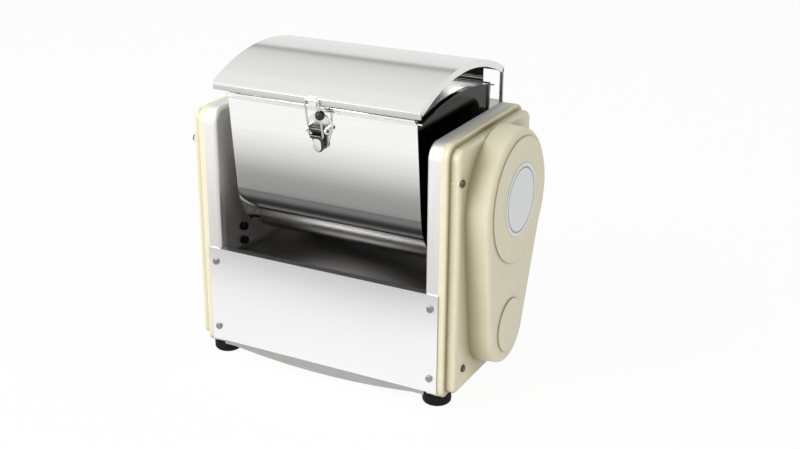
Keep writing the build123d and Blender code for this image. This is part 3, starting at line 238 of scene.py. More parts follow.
@dataclass(frozen=True)
class Finish:
    """One surface finish, made of a principled shader with fine colour, gloss and relief variation, and
    painted shade in its corners where a shade colour is given.
    """

    name: str
    base: str
    worn: str
    roughness: float
    roughness_spread: float = 0.08
    metallic: float = 0.0
    coat: float = 0.0
    ior: float = 1.5
    speckle_mm: float = 3.0
    grain: Grain = Grain.NONE
    grain_mm: float = 1.2
    grain_stretch: float = 60.0
    relief: float = 0.05
    relief_mm: float = 0.05
    # Colour of the painted shade that darkens corners and hollows, and how far the occlusion node looks for
    # them.
    painted_shade: str = ""
    painted_shade_mm: float = 8.0

    def build(self) -> bpy.types.Material:
        """Return the finished node material."""
        material = new_material(self.name)
        tree = material.node_tree
        pattern = self._pattern(tree)
        shader = add_node(tree, "ShaderNodeBsdfPrincipled",
                          inputs={"Metallic": self.metallic, "Coat Weight": self.coat})
        if not self.metallic:
            shader.inputs["IOR"].default_value = self.ior
        self._colour(tree, shader, pattern)
        self._gloss(tree, shader, pattern)
        self._relief(tree, shader, pattern)
        add_node(tree, "ShaderNodeOutputMaterial", links={"Surface": shader.outputs["BSDF"]})
        return material

    def _pattern(self, tree: bpy.types.NodeTree) -> bpy.types.NodeSocket:
        """Return the value of the moulding's speckle or the sheet's brush marks.

        Args:
            tree: Node tree of the material.

        Returns:
            A socket with values from zero to one.
        """
        coords = add_node(tree, "ShaderNodeTexCoord")
        size = self.grain_mm if self.grain is not Grain.NONE else self.speckle_mm
        scale = 1.0 / (size * MM)
        stretch = [scale, scale, scale]
        if self.grain is not Grain.NONE:
            stretch["xyz".index(self.grain.value)] = scale / self.grain_stretch
        mapping = add_node(tree, "ShaderNodeMapping", inputs={"Scale": stretch},
                           links={"Vector": coords.outputs["Object"]})
        noise = add_node(tree, "ShaderNodeTexNoise",
                         inputs={"Scale": 1.0, "Detail": PATTERN_DETAIL, "Roughness": PATTERN_ROUGHNESS},
                         links={"Vector": mapping.outputs["Vector"]})
        return noise.outputs["Fac"]

    def _colour(self, tree: bpy.types.NodeTree, shader: bpy.types.Node,
                pattern: bpy.types.NodeSocket) -> None:
        """Mix the clean and the worn colour by the pattern, and darken the corners with painted shade where
        a shade colour is given.

        Args:
            tree: Node tree of the material.
            shader: Principled shader to link.
            pattern: Pattern value.
        """
        ramp = add_node(tree, "ShaderNodeValToRGB", links={"Fac": pattern})
        worn, clean = ramp.color_ramp.elements
        worn.position = WORN_AT
        worn.color = linear(self.worn)
        clean.position = CLEAN_AT
        clean.color = linear(self.base)
        colour = ramp.outputs["Color"]
        # Painted shade: corners and hollows darken towards the shade colour by ambient occlusion.
        if self.painted_shade:
            colour = self._add_painted_shade(tree, colour)
        tree.links.new(colour, shader.inputs["Base Color"])

    def _add_painted_shade(self, tree: bpy.types.NodeTree, colour: bpy.types.NodeSocket) -> bpy.types.NodeSocket:
        """Paint shade into the corners and hollows that the occlusion node finds closed in.

        Args:
            tree: Node tree of the material.
            colour: Colour before the painted shade.

        Returns:
            The colour with painted shade in its corners.
        """
        hollow = add_node(tree, "ShaderNodeAmbientOcclusion", {"samples": CORNER_SAMPLES},
                          {"Distance": self.painted_shade_mm * MM})
        reach = add_node(tree, "ShaderNodeMapRange", inputs={"From Min": CORNER_AT, "From Max": OPEN_AT},
                         links={"Value": hollow.outputs["AO"]})
        mix = add_node(tree, "ShaderNodeMix", {"data_type": "RGBA"}, {MIX_FIRST: linear(self.painted_shade)},
                       {MIX_FACTOR: reach.outputs["Result"], MIX_SECOND: colour})
        return mix.outputs[MIX_RESULT]

    def _gloss(self, tree: bpy.types.NodeTree, shader: bpy.types.Node,
               pattern: bpy.types.NodeSocket) -> None:
        """Let the roughness follow the pattern a little.

        Args:
            tree: Node tree of the material.
            shader: Principled shader to link.
            pattern: Pattern value.
        """
        low = max(self.roughness - self.roughness_spread, LEAST_ROUGHNESS)
        high = self.roughness + self.roughness_spread
        gloss = add_node(tree, "ShaderNodeMapRange", inputs={"To Min": low, "To Max": high},
                         links={"Value": pattern})
        tree.links.new(gloss.outputs["Result"], shader.inputs["Roughness"])

    def _relief(self, tree: bpy.types.NodeTree, shader: bpy.types.Node,
                pattern: bpy.types.NodeSocket) -> None:
        """Raise the pattern slightly as relief.

        Args:
            tree: Node tree of the material.
            shader: Principled shader to link.
            pattern: Pattern value.
        """
        bump = add_node(tree, "ShaderNodeBump",
                        inputs={"Strength": self.relief, "Distance": self.relief_mm * MM},
                        links={"Height": pattern})
        tree.links.new(bump.outputs["Normal"], shader.inputs["Normal"])


@dataclass(frozen=True)
class RingedPlate(Finish):
    """White printed plate with a plain thin ring near its edge."""

    ring: str = "#7d8488"
    centre: tuple[float, float, float] = (0.0, 0.0, 0.0)
    ring_radius_mm: float = 36.5
    ring_width_mm: float = 1.6
    ring_full: float = 0.4
    ring_gone: float = 0.6

    def _colour(self, tree: bpy.types.NodeTree, shader: bpy.types.Node,
                pattern: bpy.types.NodeSocket) -> None:
        """Print one ring around the plate's centre.

        Args:
            tree: Node tree of the material.
            shader: Principled shader to link.
            pattern: Pattern value, which is left out of the print.
        """
        coords = add_node(tree, "ShaderNodeTexCoord")
        offset = add_node(tree, "ShaderNodeVectorMath", {"operation": "DISTANCE"}, {1: self.centre},
                          {0: coords.outputs["Object"]})
        away = add_node(tree, "ShaderNodeMath", {"operation": "SUBTRACT"}, {1: self.ring_radius_mm * MM},
                        {0: offset.outputs["Value"]})
        apart = add_node(tree, "ShaderNodeMath", {"operation": "ABSOLUTE"}, links={0: away.outputs["Value"]})
        width = self.ring_width_mm * MM
        edge = add_node(tree, "ShaderNodeMapRange",
                        inputs={"From Min": width * self.ring_full, "From Max": width * self.ring_gone},
                        links={"Value": apart.outputs["Value"]})
        ramp = add_node(tree, "ShaderNodeValToRGB", links={"Fac": edge.outputs["Result"]})
        print_stop, plate_stop = ramp.color_ramp.elements
        print_stop.color = linear(self.ring)
        plate_stop.color = linear(self.base)
        tree.links.new(ramp.outputs["Color"], shader.inputs["Base Color"])


# Ivory ABS, injection moulded: an even semi-gloss with the faint cloud of the pigment, and painted olive
# shade in the corners and hollows.
IVORY_ABS = Finish("ivory_abs_moulded", "#f0eacd", "#ede6c7", 0.38, 0.04, coat=0.1, speckle_mm=18.0,
                   relief=0.03, painted_shade="#82773f", painted_shade_mm=30.0)
# Stainless sheet of the front and rear panels, satin rolled: near white, a soft bloom, weak marks along X.
SATIN_PANEL = Finish("stainless_satin_panel", "#fafafb", "#f8f8f9", 0.36, 0.02, metallic=1.0,
                     grain=Grain.ALONG_X, grain_mm=1.6, relief=0.004)
# Stainless sheet of the lid, fine ground: smoother, so the light breaks into long clear bands.
LID_SHEET = Finish("stainless_ground_lid", "#e9e9e8", "#e7e7e6", 0.11, 0.01, metallic=1.0,
                   grain=Grain.ALONG_X, grain_mm=2.0, relief=0.002)
# Stainless hem and strips of the lid, pressed flat and left unpolished: soft grey lines.
HEM_SHEET = Finish("stainless_folded_hem", "#cdcdcb", "#c6c6c4", 0.42, 0.05, metallic=1.0,
                   grain=Grain.ALONG_X, relief=0.01)
# Stainless sheet of the folded sides, brushed upright: it scatters the light wide.
UPRIGHT_SHEET = Finish("stainless_upright_sheet", "#ebeae6", "#e4e3df", 0.56, 0.05, metallic=1.0,
                       grain=Grain.ALONG_Z, relief=0.015)
# Cold-rolled stainless of the pan under the panel: duller and greyer.
PAN_SHEET = Finish("stainless_cold_rolled_pan", "#b6b6b5", "#abaaa9", 0.42, 0.06, metallic=1.0,
                   grain=Grain.ALONG_X, relief=0.02)
# Stainless deck under the drum: bright rolled, but it sees mostly the dark hollow above it.
DECK_SHEET = Finish("stainless_bright_deck", "#c6c5c3", "#bfbebc", 0.3, 0.03, metallic=1.0,
                    grain=Grain.ALONG_X, relief=0.003)
# Stainless drum, polished: clear reflections with a trace of the polishing wheel along the drum.
POLISHED_DRUM = Finish("stainless_polished", "#f8f8f7", "#f3f3f2", 0.1, 0.02, metallic=1.0,
                       grain=Grain.ALONG_X, relief=0.003)
# Nickel-plated wire of the latch: bright, with a slightly uneven gloss.
BRIGHT_PLATE = Finish("nickel_plated", "#dcdcda", "#c6c6c4", 0.2, 0.06, metallic=1.0, speckle_mm=1.0)
# Nickel-plated latch plate and thumb pad, brushed before plating: pale satin.
SATIN_PLATE = Finish("nickel_satin_plate", "#efefee", "#e6e6e5", 0.32, 0.04, metallic=1.0, speckle_mm=1.0)
# Spring steel of the latch pin, oil blackened, and of the latch lever: dark with a paler worn speckle; on
# the lever the dark steel showing beside the bright pad is painted shade on the tongue's side.
DARK_SPRING_AND_SHADE = Finish("spring_steel_dark_and_shade", "#3a3937", "#52514e", 0.24, 0.06, metallic=1.0, speckle_mm=1.4)
# Zinc-plated screws: grey heads, with painted shade darkening their recesses.
ZINC_SCREW = Finish("zinc_plated_screw", "#a9a8a4", "#8f8d88", 0.3, 0.08, metallic=1.0, speckle_mm=0.8,
                    painted_shade="#2a2822", painted_shade_mm=2.0)
# Blackened screws of the mouldings: dull olive brown dots in their recesses, with painted shade darkening
# the recess of each head.
DULL_SCREW = Finish("blackened_screw", "#6a654f", "#56523f", 0.45, 0.08, metallic=1.0, speckle_mm=0.8,
                    painted_shade="#1c1a14", painted_shade_mm=2.0)
# Turned steel of shafts and pins: clean grey with a fine speckle from handling.
TURNED_STEEL = Finish("turned_steel", "#c9c9c8", "#aeaeac", 0.28, 0.08, metallic=1.0, speckle_mm=0.8)
# Cast housings, shot blasted: dull grey with a coarse skin.
CAST_METAL = Finish("cast_housing_grey", "#6d6f70", "#595b5c", 0.6, 0.1, metallic=0.6, speckle_mm=1.5,
                    relief=0.2)
# Die-cast aluminium of the motor: pale matt grey with a fine cast skin.
MOTOR_CAST = Finish("aluminium_die_cast", "#b9bbbc", "#a3a5a6", 0.5, 0.1, metallic=1.0, speckle_mm=1.2,
                    relief=0.1)
# Black rubber, moulded: matt with a fine dusty bloom.
BLACK_RUBBER = Finish("rubber_moulded_black", "#0a0a0a", "#131312", 0.7, 0.1, ior=1.28, speckle_mm=1.2,
                      relief=0.12)
# Black polyamide of knob, blocks and switch: satin with a fine spark-eroded grain.
BLACK_NYLON = Finish("polyamide_black", "#121212", "#1c1c1c", 0.35, 0.08, speckle_mm=0.7, relief=0.1)
# Natural nylon of the gears: waxy off-white.
NATURAL_NYLON = Finish("nylon_natural", "#e5dfcc", "#d8d1ba", 0.45, 0.08, speckle_mm=4.0)

FINISHES: dict[Finish, tuple[str, ...]] = {
    IVORY_ABS: ("left_side_cover", "right_side_cover", "gear_cover"),
    UPRIGHT_SHEET: ("left_side_frame", "right_side_frame"),
    SATIN_PANEL: ("front_panel", "rear_panel"),
    PAN_SHEET: ("bottom_pan",),
    DECK_SHEET: ("motor_deck",),
    LID_SHEET: ("lid_shell", "lid_hinge_ears", "lid_keeper"),
    POLISHED_DRUM: ("drum_shell", "drum_left_end", "drum_right_end", "drum_hubs", "kneading_arm"),
    SATIN_PLATE: ("latch_plate",),
    DARK_SPRING_AND_SHADE: ("latch_lever", "latch_pin"),
    BRIGHT_PLATE: ("latch_bail",),
    DULL_SCREW: ("cover_screws",),
    ZINC_SCREW: ("foot_screws", "panel_screws", "tie_rod_screws", "housing_screws", "motor_screws",
                 "hinge_screws", "hub_screws"),
    TURNED_STEEL: ("drive_shaft", "idle_shaft", "arm_pins", "idler_axle", "motor_shaft", "motor_pinion",
                   "hinge_pins", "tie_rods", "shaft_bearings", "capacitor_clip"),
    CAST_METAL: ("left_bearing_housing", "right_bearing_housing", "bearing_caps", "motor_cradle"),
    MOTOR_CAST: ("motor_body", "motor_end_bells", "motor_flange"),
    BLACK_RUBBER: ("rubber_feet", "side_buffers", "shaft_seals"),
    BLACK_NYLON: ("hinge_blocks", "latch_knob", "cord_gland", "gland_nut", "switch_housing",
                  "motor_capacitor", "switch_rocker"),
    NATURAL_NYLON: ("drive_gear", "idler_gear"),
}


@dataclass
class Dresser:
    """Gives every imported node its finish."""

    nodes: dict[str, bpy.types.Object]
    materials: dict[str, bpy.types.Material] = field(default_factory=dict)

    def material(self, finish: Finish) -> bpy.types.Material:
        """Return the material of a finish, made once.

        Args:
            finish: Finish to build.

        Returns:
            Its material.
        """
        if finish.name not in self.materials:
            self.materials[finish.name] = finish.build()
        return self.materials[finish.name]

    def dress(self) -> None:
        """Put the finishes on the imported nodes."""
        for finish, names in FINISHES.items():
            for name in names:
                self._paint(name, finish)
        low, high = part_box("cover_badge")
        middle = tuple((a + b) / 2 for a, b in zip(low, high))
        plate = RingedPlate("printed_plate_white", "#f2f3f3", "#e9eaea", 0.3, 0.03, centre=middle)
        self._paint("cover_badge", plate)

    def _paint(self, name: str, finish: Finish) -> None:
        """Set one node's material.

        Args:
            name: Node name.
            finish: Its finish.
        """
        slots = self.nodes[name].material_slots
        material = self.material(finish)
        if not slots:
            self.nodes[name].data.materials.append(material)
        for each in slots:
            each.material = material
        LOG.info("%s: %s", name, finish.name)


@dataclass
class Workshop:
    """Makes finished pieces of bmeshes and sets them on the frame's bodies."""

    dresser: Dresser

    def piece(self, name: str, mesh: bmesh.types.BMesh, body: Body, slot: str, finish: Finish,
              stands_for: str = "", crease_deg: float = 32.0, even: bool = False) -> None:
        """Turn a bmesh into a dressed piece that rides on a body.

        Args:
            name: Piece name.
            mesh: Finished bmesh in metres in the frame's place, which is freed.
            body: Body that carries the piece.
            slot: Material slot of the record; not used.
            finish: Finish of the piece.
            stands_for: Node that the piece replaces, if any.
            crease_deg: Angle between faces from which an edge is sharp.
            even: Whether large flat faces keep their own shading beside small roundings.
        """
        made = new_object(name, mesh)
        data = made.data
        packed_normals = data.attributes.get("custom_normal")
        if packed_normals:
            data.attributes.remove(packed_normals)
        data.shade_smooth()
        data.set_sharp_from_angle(angle=math.radians(crease_deg))
        data.materials.append(self.dresser.material(finish))
        if even:
            made.modifiers.new("even_normals", "WEIGHTED_NORMAL").keep_sharp = True
        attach(made, body.value)
        if stands_for:
            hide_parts(stands_for)
        LOG.info("%s: %d faces on %s, %s", name, len(data.polygons), body.value, finish.name)


@dataclass
class SquareFeetSides:
    """Side frames and side covers with nearly square lower corners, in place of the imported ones."""

    shop: Workshop
    nodes: dict[str, bpy.types.Object]
    drawn_corner_mm: float = 18.0
    real_corner_mm: float = 6.0

    def build(self) -> None:
        """Make the four sides."""
        for name, finish, slot in (("left_side_frame", UPRIGHT_SHEET, "stainless_sheet"),
                                   ("right_side_frame", UPRIGHT_SHEET, "stainless_sheet"),
                                   ("left_side_cover", IVORY_ABS, "cream_moulding"),
                                   ("right_side_cover", IVORY_ABS, "cream_moulding")):
            mesh = merged_copy(self.nodes[name])
            low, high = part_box(name)
            self._square(mesh, low, high)
            self.shop.piece(name + "_square", mesh, Body.FRAME, slot, finish, stands_for=name, even=True)

    def _square(self, mesh: bmesh.types.BMesh, low: Vector, high: Vector) -> None:
        """Draw the lower corners out of their large radius to the small one.

        Args:
            mesh: Copy of the side's mesh.
            low: Lowest corner of the side's box.
            high: Highest corner of the side's box.
        """
        reach = self.drawn_corner_mm * MM
        for vert in mesh.verts:
            for edge, way in ((low.y, -1.0), (high.y, 1.0)):
                out = (vert.co.y - (edge - way * reach)) * way
                down = low.z + reach - vert.co.z
                if out > 0 and down > 0:
                    grow = self._growth(out, down)
                    vert.co.y += way * out * (grow - 1.0)
                    vert.co.z -= down * (grow - 1.0)

    def _growth(self, out: float, down: float) -> float:
        """Return how far a point moves away from the corner's old centre.

        Args:
            out: Its distance outwards from that centre.
            down: Its distance below that centre.

        Returns:
            Factor on both distances.
        """
        away = math.hypot(out, down)
        a, b = out / away, down / away
        reach = self.drawn_corner_mm
        core = reach - self.real_corner_mm
        flat = reach / max(a, b)
        if flat * min(a, b) <= core:
            return flat / reach
        along = core * (a + b)
        return (along + math.sqrt(along * along - 2 * core * core + self.real_corner_mm ** 2)) / reach


@dataclass
class Roll:
    """Rolled edge of a sheet along X: a round bar with softened ends."""

    name: str
    radius_mm: float
    segments: int = 24
    soft_share: float = 0.25
    soft_steps: int = 2

    def mesh(self, start: Vector, length: float) -> bmesh.types.BMesh:
        """Return the bar.

        Args:
            start: Middle of its left end, in metres.
            length: Its length along X, in metres.

        Returns:
            The bar's bmesh.
        """
        made = bmesh.new()
        radius = self.radius_mm * MM
        bmesh.ops.create_circle(made, cap_ends=True, segments=self.segments, radius=radius,
                                matrix=Matrix.Translation(start) @ turned(90.0, "Y"))
        draw_out(made, Vector((length, 0, 0)))
        rims = [edge for edge in made.edges if abs(edge.verts[0].co.x - edge.verts[1].co.x) < SAME_POINT]
        soften(made, rims, radius * self.soft_share, self.soft_steps)
        bmesh.ops.recalc_face_normals(made, faces=made.faces[:])
        return made


@dataclass
class MouthRoll:
    """Rolled front edge of the drum's mouth, which closes the view under the lid's lip."""

    shop: Workshop
    roll: Roll = field(default_factory=lambda: Roll("mouth_roll", 3.4))
    lift_mm: float = 1.2
    sink_mm: float = 1.2

    def build(self) -> None:
        """Make the roll along the drum's front edge."""
        low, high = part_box("drum_shell")
        inward = (self.roll.radius_mm - self.sink_mm) * MM
        start = Vector((low.x, low.y + inward, high.z + self.lift_mm * MM))
        mesh = self.roll.mesh(start, high.x - low.x)
        self.shop.piece(self.roll.name, mesh, Body.DRUM, "polished_stainless", POLISHED_DRUM)


@dataclass
class Slab:
    """Flat strip of sheet between two corners, with soft edges."""

    low: Vector
    high: Vector
    soft_mm: float = 0.3
    soft_steps: int = 3

    def mesh(self) -> bmesh.types.BMesh:
        """Return the strip."""
        made = bmesh.new()
        size = Matrix.Diagonal((*(self.high - self.low), 1.0))
        bmesh.ops.create_cube(made, size=1.0, matrix=Matrix.Translation((self.low + self.high) / 2) @ size)
        soften(made, made.edges[:], self.soft_mm * MM, self.soft_steps)
        return made


@dataclass
class LidHem:
    """Doubled edge along the lid's front lip, and the strips that stiffen its two hinge straps."""

    shop: Workshop
    foot_mm: float = 333.3
    head_mm: float = 339.9
    thick_mm: float = 1.3
    proud_mm: float = 0.5
    strap_mm: float = 4.3
    strap_foot_mm: float = 276.0
    strap_head_mm: float = 337.0
    wall_mm: float = 1.1

    def build(self) -> None:
        """Make the fold over the whole width of the lid and both strips on its rear wall."""
        low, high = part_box("lid_shell")
        front = low.y - self.proud_mm * MM
        self._strip("lid_hem", Vector((low.x, front, self.foot_mm * MM)),
                    Vector((high.x, front + self.thick_mm * MM, self.head_mm * MM)))
        back = high.y - self.wall_mm * MM
        for name, left in (("lid_left_strip", low.x), ("lid_right_strip", high.x - self.strap_mm * MM)):
            self._strip(name, Vector((left, back - self.thick_mm * MM, self.strap_foot_mm * MM)),
                        Vector((left + self.strap_mm * MM, back, self.strap_head_mm * MM)))

    def _strip(self, name: str, low: Vector, high: Vector) -> None:
        """Make one strip of the lid's own sheet.

        Args:
            name: Piece name.
            low: Lowest corner.
            high: Highest corner.
        """
        self.shop.piece(name, Slab(low, high).mesh(), Body.LID, "stainless_sheet", HEM_SHEET)


@dataclass
class NotchedLid:
    """Lid sheet with a window beside each hinge strap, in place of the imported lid."""

    shop: Workshop
    nodes: dict[str, bpy.types.Object]
    strap_mm: float = 4.5
    window_mm: float = 21.0
    foot_mm: float = 303.0
    head_mm: float = 338.0
    wall_mm: float = 101.0
    upright: float = 0.98
    crease_deg: float = 20.0

    def build(self) -> None:
        """Copy the lid and cut both windows through its rear wall."""
        mesh = merged_copy(self.nodes["lid_shell"])
        low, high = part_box("lid_shell")
        near = self.strap_mm * MM
        far = near + self.window_mm * MM
        for left, right in ((low.x + near, low.x + far), (high.x - far, high.x - near)):
            self._window(mesh, left, right)
        bmesh.ops.recalc_face_normals(mesh, faces=mesh.faces[:])
        self.shop.piece("lid_shell_notched", mesh, Body.LID, "stainless_sheet", LID_SHEET,
                        stands_for="lid_shell", crease_deg=self.crease_deg)

    def _window(self, mesh: bmesh.types.BMesh, left: float, right: float) -> None:
        """Cut one window through both skins of the rear wall and close its rim.

        Args:
            mesh: Copy of the lid.
            left: Lower X of the window.
            right: Upper X of the window.
        """
        foot, head = self.foot_mm * MM, self.head_mm * MM
        across, upward = Vector((1, 0, 0)), Vector((0, 0, 1))
        for point, way in ((Vector((left, 0, 0)), across), (Vector((right, 0, 0)), across),
                           (Vector((0, 0, foot)), upward), (Vector((0, 0, head)), upward)):
            skins = self._skins(mesh)
            geom = skins + list(dict.fromkeys(edge for face in skins for edge in face.edges))
            geom += list(dict.fromkeys(vert for face in skins for vert in face.verts))
            bmesh.ops.bisect_plane(mesh, geom=geom, dist=SAME_POINT, plane_co=point, plane_no=way)
        cut = [face for face in self._skins(mesh)
               if left < face.calc_center_median().x < right and foot < face.calc_center_median().z < head]
        bmesh.ops.delete(mesh, geom=cut, context="FACES")
        rim = [edge for edge in mesh.edges if edge.is_boundary]
        bmesh.ops.bridge_loops(mesh, edges=rim)

    def _skins(self, mesh: bmesh.types.BMesh) -> list[bmesh.types.BMFace]:
        """Return the two flat skins of the rear wall.

        Args:
            mesh: Copy of the lid.

        Returns:
            Their faces.
        """
        return [face for face in mesh.faces
                if abs(face.normal.y) > self.upright and face.calc_center_median().y > self.wall_mm * MM]


@dataclass
class LidEnds:
    """Folded flanges that stiffen the lid's two arched ends."""

    shop: Workshop
    radius_mm: float = 239.3
    half_angle_deg: float = 26.2
    depth_mm: float = 5.4
    sheet_mm: float = 1.2
    hem_mm: float = 2.45
    steps: int = 40

    def build(self) -> None:
        """Make both flanges inside the lid's ends."""
        low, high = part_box("lid_shell")
        axis = Vector((0.0, (low.y + high.y) / 2, high.z - self.radius_mm * MM))
        for name, left in (("lid_left_flange", low.x), ("lid_right_flange", high.x - self.sheet_mm * MM)):
            mesh = self._flange(left, high.z, axis)
            self.shop.piece(name, mesh, Body.LID, "stainless_sheet", LID_SHEET)

    def _flange(self, left: float, top: float, axis: Vector) -> bmesh.types.BMesh:
        """Return one flange, spun about the lid's own arc.

        Args:
            left: Its lower X.
            top: Height of the lid's crest.
            axis: Point on the arc's axis.

        Returns:
            The flange's bmesh.
        """
        half_sheet = self.sheet_mm * MM / 2
        half_depth = self.depth_mm * MM / 2
        place = Vector((left + half_sheet, axis.y, top - half_depth - self.hem_mm * MM))
        size = Matrix.Diagonal((half_sheet, half_depth, 1, 1))
        made = new_panel(Matrix.Translation(place) @ turned(90.0, "X") @ size)
        bmesh.ops.delete(made, geom=made.faces[:], context="FACES_ONLY")
        bmesh.ops.rotate(made, cent=axis, matrix=turned(-self.half_angle_deg, "X"), verts=made.verts[:])
        bmesh.ops.spin(made, geom=made.edges[:] + made.verts[:], cent=axis, axis=Vector((1, 0, 0)),
                       angle=math.radians(2 * self.half_angle_deg), steps=self.steps, use_duplicate=False)
        bmesh.ops.holes_fill(made, edges=[edge for edge in made.edges if edge.is_boundary], sides=4)
        bmesh.ops.recalc_face_normals(made, faces=made.faces[:])
        return made


@dataclass
class TonguePad:
    """Bright thumb pad pressed on the front of the latch tongue, whose dark steel showing beside it is
    painted shade.
    """

    shop: Workshop
    radius_mm: float = 5.3
    straight_mm: float = 5.0
    thick_mm: float = 0.8
    # Set off to one side, so that a wider strip of the dark tongue shows beside the pad as painted shade.
    aside_mm: float = -1.0
    drop_mm: float = 20.0
    face_mm: float = 0.9
    flare_deg: float = 6.0
    segments: int = 32
    soft_share: float = 0.5
    soft_steps: int = 3

    def build(self) -> None:
        """Make the pad and lay it on the tongue, which hangs from the latch pin."""
        mesh = bmesh.new()
        thick = self.thick_mm * MM
        bmesh.ops.create_circle(mesh, cap_ends=True, segments=self.segments, radius=self.radius_mm * MM)
        upper = [vert for vert in mesh.verts if vert.co.y > SAME_POINT]
        bmesh.ops.translate(mesh, verts=upper, vec=Vector((0, self.straight_mm * MM, 0)))
        draw_out(mesh, Vector((0, 0, thick)))
        rim = [edge for edge in mesh.edges if all(vert.co.z > thick / 2 for vert in edge.verts)]
        soften(mesh, rim, thick * self.soft_share, self.soft_steps)
        bmesh.ops.recalc_face_normals(mesh, faces=mesh.faces[:])
        low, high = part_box("latch_pin")
        offset = Matrix.Translation(Vector((self.aside_mm, -self.drop_mm, self.face_mm)) * MM)
        place = Matrix.Translation((low + high) / 2) @ turned(90.0 + self.flare_deg, "X") @ offset
        bmesh.ops.transform(mesh, matrix=place, verts=mesh.verts[:])
        self.shop.piece("tongue_pad", mesh, Body.LEVER, "polished_stainless", SATIN_PLATE)


class CardFace(Enum):
    """Way that an upright card faces, as the turn about Z from a card that faces the front."""

    FRONT = 0.0
    SIDE = 90.0


@dataclass(frozen=True)
class Card:
    """Upright dark card that only mirrors see, in metres.

    Its stops pair a share of the height with an opacity, and both ends come first.
    """

    name: str
    face: CardFace
    across: tuple[float, float]
    depth: float
    height: tuple[float, float]
    stops: tuple[tuple[float, float], ...]
    fade: float = 0.0
    cloth: str = "#050505"

    @property
    def half(self) -> float:
        """Half of the card's width."""
        return (self.across[1] - self.across[0]) / 2

    @property
    def middle(self) -> float:
        """Middle of the card's width."""
        return self.across[0] + self.half

    def mesh(self) -> bmesh.types.BMesh:
        """Return the card's one face in its place."""
        rise = (self.height[1] - self.height[0]) / 2
        place = Vector((self.middle, self.depth, self.height[0] + rise))
        if self.face is CardFace.SIDE:
            place = Vector((self.depth, self.middle, self.height[0] + rise))
        turn = turned(self.face.value, "Z") @ turned(90.0, "X")
        return new_panel(Matrix.Translation(place) @ turn @ Matrix.Diagonal((self.half, rise, 1, 1)))

    def material(self) -> bpy.types.Material:
        """Return black cloth that thins out along the card's height."""
        material = new_material(self.name)
        tree = material.node_tree
        coords = add_node(tree, "ShaderNodeTexCoord")
        split = add_node(tree, "ShaderNodeSeparateXYZ", links={0: coords.outputs["Object"]})
        foot, head = self.height
        level = add_node(tree, "ShaderNodeMapRange", inputs={"From Min": foot, "From Max": head},
                         links={"Value": split.outputs["Z"]})
        ramp = add_node(tree, "ShaderNodeValToRGB", links={"Fac": level.outputs["Result"]})
        marks = ramp.color_ramp.elements
        first_marks = len(marks)
        for at, (place, share) in enumerate(self.stops):
            mark = marks[at] if at < first_marks else marks.new(place)
            mark.position = place
            mark.color = (share, share, share, 1.0)
        opacity = ramp.outputs["Color"]
        if self.fade:
            along = split.outputs["X" if self.face is CardFace.FRONT else "Y"]
            opacity = self._soft_sides(tree, opacity, along)
        clear = add_node(tree, "ShaderNodeBsdfTransparent")
        cloth = add_node(tree, "ShaderNodeBsdfDiffuse", inputs={"Color": linear(self.cloth)})
        mix = add_node(tree, "ShaderNodeMixShader",
                       links={0: opacity, 1: clear.outputs["BSDF"], 2: cloth.outputs["BSDF"]})
        add_node(tree, "ShaderNodeOutputMaterial", links={"Surface": mix.outputs["Shader"]})
        return material

    def _soft_sides(self, tree: bpy.types.NodeTree, opacity: bpy.types.NodeSocket,
                    along: bpy.types.NodeSocket) -> bpy.types.NodeSocket:
        """Thin the cloth out towards both sides, so that no hard edge shows in a mirror.

        Args:
            tree: Node tree of the material.
            opacity: Opacity along the card's height.
            along: Place along the card's width.

        Returns:
            The opacity with soft sides.
        """
        offset = add_node(tree, "ShaderNodeMath", {"operation": "SUBTRACT"}, {1: self.middle}, {0: along})
        apart = add_node(tree, "ShaderNodeMath", {"operation": "ABSOLUTE"},
                         links={0: offset.outputs["Value"]})
        side = add_node(tree, "ShaderNodeMapRange", {"interpolation_type": "SMOOTHSTEP"},
                        {"From Min": self.half - self.fade, "From Max": self.half,
                         "To Min": 1.0, "To Max": 0.0},
                        {"Value": apart.outputs["Value"]})
        both = add_node(tree, "ShaderNodeMath", {"operation": "MULTIPLY"},
                        links={0: opacity, 1: side.outputs["Result"]})
        return both.outputs["Value"]


CARDS: tuple[Card, ...] = (
    Card("far_drum_card", CardFace.FRONT, (-0.40, 0.19), -0.2545, (0.040, 0.200),
         ((0.0, 0.0), (1.0, 0.0), (0.094, 0.5), (0.194, 0.725), (0.319, 0.69), (0.438, 0.67),
          (0.519, 0.63), (0.55, 0.585), (0.581, 0.53), (0.613, 0.475), (0.675, 0.37),
          (0.738, 0.265), (0.806, 0.17), (0.881, 0.08), (0.956, 0.0)), fade=0.15),
    Card("near_drum_card", CardFace.FRONT, (-0.146, 0.118), -0.096, (0.1180, 0.2065),
         ((0.0, 0.88), (1.0, 0.0), (0.082, 0.9), (0.315, 0.92), (0.478, 0.955), (0.598, 0.97),
          (0.692, 0.965), (0.767, 0.915), (0.836, 0.83), (0.896, 0.81), (0.948, 0.775))),
    Card("lid_card", CardFace.FRONT, (-3.5, 1.0), 2.0, (0.1, 4.6),
         ((0.0, 0.12), (1.0, 0.0), (0.249, 0.12), (0.284, 0.45), (0.304, 0.62), (0.329, 0.45),
          (0.36, 0.27), (0.467, 0.17), (0.593, 0.11), (0.856, 0.06))),
    Card("drum_end_card", CardFace.SIDE, (-0.1, 0.13), 0.1133, (0.14, 0.345), ((0.0, 0.95), (1.0, 0.9))),
)


@dataclass(frozen=True)
class Lamp:
    """Square soft lamp, with its place and the length of its side in metres."""

    name: str
    place: tuple[float, float, float]
    side: float
    watts: float


